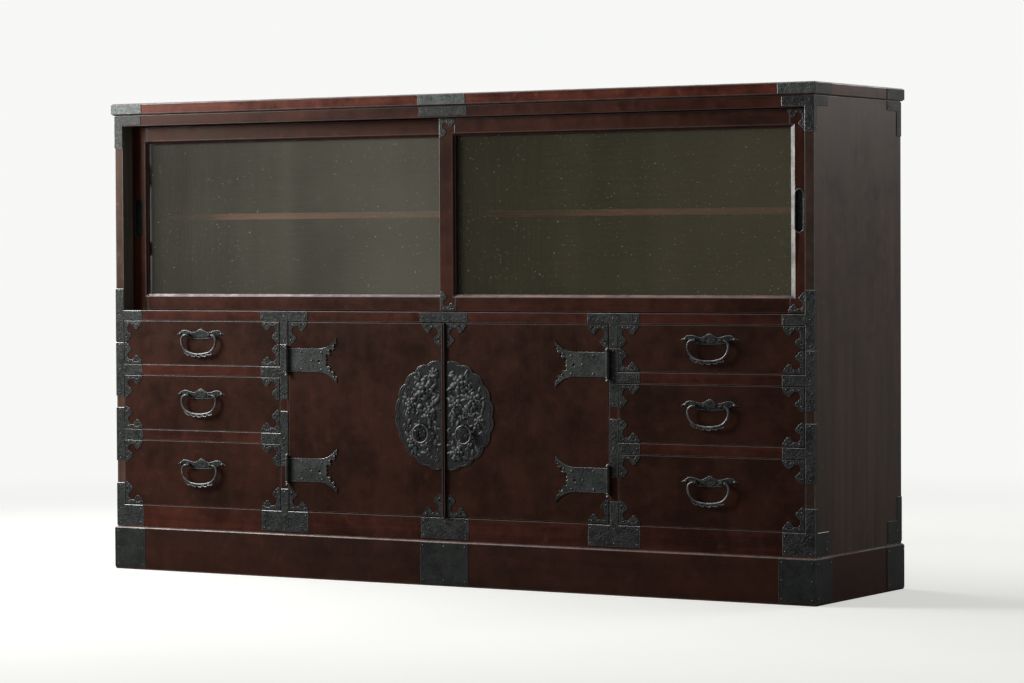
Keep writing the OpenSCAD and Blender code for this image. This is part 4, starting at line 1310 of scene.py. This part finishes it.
# The lamps: place, what they look at, width and height, power and colour
LAMPS = {
    "key_lamp": ((-2.20, -1.45, 1.60), (-0.6, -0.2, 0.9), (0.9, 1.1), 66.0, (0.97, 0.98, 0.95)),
    "top_lamp": ((-1.2, 0.1, 3.0), (0, 0, 0.5), (2.2, 1.6), 60.0, (0.97, 0.98, 0.95)),
    "side_lamp": ((2.6, 3.2, 2.1), (0.9, 0.1, 0.9), (2.4, 1.4), 46.0, (1.0, 0.985, 0.95)),
}


def area_lamp(name, place, aim, size, power, tone):
    """A rectangular soft lamp that looks at a point."""
    data = bpy.data.lights.new(name, "AREA")
    data.shape = "RECTANGLE"
    data.size, data.size_y = size
    data.energy = power
    data.color = tone
    lamp = show(bpy.data.objects.new(name, data))
    lamp.location = place
    lamp.rotation_euler = (Vector(aim) - Vector(place)).to_track_quat("-Z", "Y").to_euler()


def studio_floor(tone):
    """A wide round floor, pale and plain, that fades out far from the sideboard."""
    bpy.ops.mesh.primitive_circle_add(vertices=96, radius=14.0, fill_type="NGON", location=(0, 0, -0.0005))
    floor = added()
    floor.name = "studio_floor"
    finish = Finish("studio_floor")
    away = finish.add("VectorMath", {0: finish.where}, "Value", operation="LENGTH")
    dust = finish.between(finish.noise(2.0, 3.0, 0.5), 0.3, 0.7)
    plain = finish.add("BsdfDiffuse", {"Color": finish.mix(dust, scaled(tone, 0.98), scaled(tone, 1.02))})
    glow = finish.add("Emission", {"Color": rgba(scaled(tone, 1.15)), "Strength": 0.7})
    dull = finish.add("BsdfDiffuse", {"Color": rgba(scaled(tone, 0.35))})
    pale = finish.add("AddShader", {0: plain, 1: glow})
    seen = finish.add("MixShader", {0: finish.add("LightPath"), 1: dull, 2: pale})
    clear = finish.add("BsdfTransparent")
    blend = finish.add("MixShader", {0: finish.between(away, 1.3, 4.0), 1: seen, 2: clear})
    floor.data.materials.append(finish.end(blend))
    floor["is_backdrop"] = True


def studio_world():
    """Soft light from all round, brighter behind and above on the left, and a pale background."""
    finish = Finish("studio", bpy.data.worlds, "Generated")
    camera, glossy, through = (finish.add("LightPath", out=f"Is {ray} Ray")
                               for ray in ("Camera", "Glossy", "Transmission"))
    towards = finish.add("VectorMath", {0: finish.where, 1: (-0.80, 0.50, 0.33)}, "Value",
                         operation="DOT_PRODUCT")
    level = finish.between(towards, 0.0, 0.78, 0.22, 0.94)
    level = level.work("MAXIMUM", level, camera * 0.94)
    direct = camera.work("MAXIMUM", camera.work("MAXIMUM", camera, glossy), through)
    pale = finish.add("Background", {"Color": (0.99, 1.0, 0.985, 1.0), "Strength": level})
    light = finish.add("Background", {"Color": (1.0, 0.985, 0.94, 1.0), "Strength": 0.16})
    blend = finish.add("MixShader", {0: direct, 1: light, 2: pale})
    bpy.context.scene.world = finish.end(blend, "World")


# The camera, fitted to the photograph: place in metres, turn, dip and roll in radians, lens in millimetres
CAMERA_PLACE = (3.99711, -6.48091, 0.72775)
CAMERA_TURN = 0.5471
CAMERA_DIP = 0.0264
CAMERA_ROLL = -0.0049
CAMERA_LENS = 120.54


def studio_camera():
    """The camera at the photograph's place, for an image of 1024 by 683."""
    data = bpy.data.cameras.new("camera")
    data.sensor_width = 36.0
    data.lens = CAMERA_LENS
    data.clip_end = 100.0
    turn = Matrix.Rotation(CAMERA_TURN, 4, "Z") @ Matrix.Rotation(math.pi / 2 - CAMERA_DIP, 4, "X")
    camera = show(bpy.data.objects.new("camera", data))
    camera.matrix_world = Matrix.Translation(CAMERA_PLACE) @ turn @ Matrix.Rotation(CAMERA_ROLL, 4, "Z")
    bpy.context.scene.camera = camera


class SIDEBOARD_OT_stage(Operator):
    """Set up the floor, the soft lamps, the world and the camera"""
    bl_idname = "sideboard.stage"
    bl_label = "Stage"

    def execute(self, context):
        studio_floor(context.scene.sideboard_colours.floor)
        studio_world()
        studio_camera()
        for name, look in LAMPS.items():
            area_lamp(name, *look)
        context.scene.view_settings.view_transform = "Standard"
        return {"FINISHED"}


OPERATORS = (
    SIDEBOARD_OT_finishes,
    SIDEBOARD_OT_boards,
    SIDEBOARD_OT_fronts,
    SIDEBOARD_OT_plates,
    SIDEBOARD_OT_drawer_iron,
    SIDEBOARD_OT_bails,
    SIDEBOARD_OT_door_iron,
    SIDEBOARD_OT_sliding_iron,
    SIDEBOARD_OT_kept_nodes,
    SIDEBOARD_OT_stage,
)


class SIDEBOARD_PT_panel(Panel):
    """Sizes, colours and steps of the sideboard"""
    bl_idname = "SIDEBOARD_PT_panel"
    bl_label = "Sideboard"
    bl_space_type = "VIEW_3D"
    bl_region_type = "UI"
    bl_category = "Sideboard"

    def draw(self, context):
        for group in (context.scene.sideboard_sizes, context.scene.sideboard_colours):
            column = self.layout.column()
            for name in group.bl_rna.properties.keys():
                if name not in ("rna_type", "name"):
                    column.prop(group, name)
        for step in OPERATORS:
            self.layout.operator(step.bl_idname)


CLASSES = (SideboardSizes, SideboardColours, *OPERATORS, SIDEBOARD_PT_panel)


def register():
    for entry in CLASSES:
        bpy.utils.register_class(entry)
    bpy.types.Scene.sideboard_sizes = PointerProperty(type=SideboardSizes)
    bpy.types.Scene.sideboard_colours = PointerProperty(type=SideboardColours)


def unregister():
    del bpy.types.Scene.sideboard_colours
    del bpy.types.Scene.sideboard_sizes
    for entry in reversed(CLASSES):
        bpy.utils.unregister_class(entry)


def main():
    """Builds the whole scene round the frame."""
    register()
    for step in OPERATORS:
        getattr(bpy.ops.sideboard, step.bl_idname.split(".")[1])()
    boxes = {"cad": CAD_BOX, "visual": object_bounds()}
    sizes = {key: [[float(part) for part in corner] for corner in box] for key, box in boxes.items()}


if __name__ == "__main__":
    main()
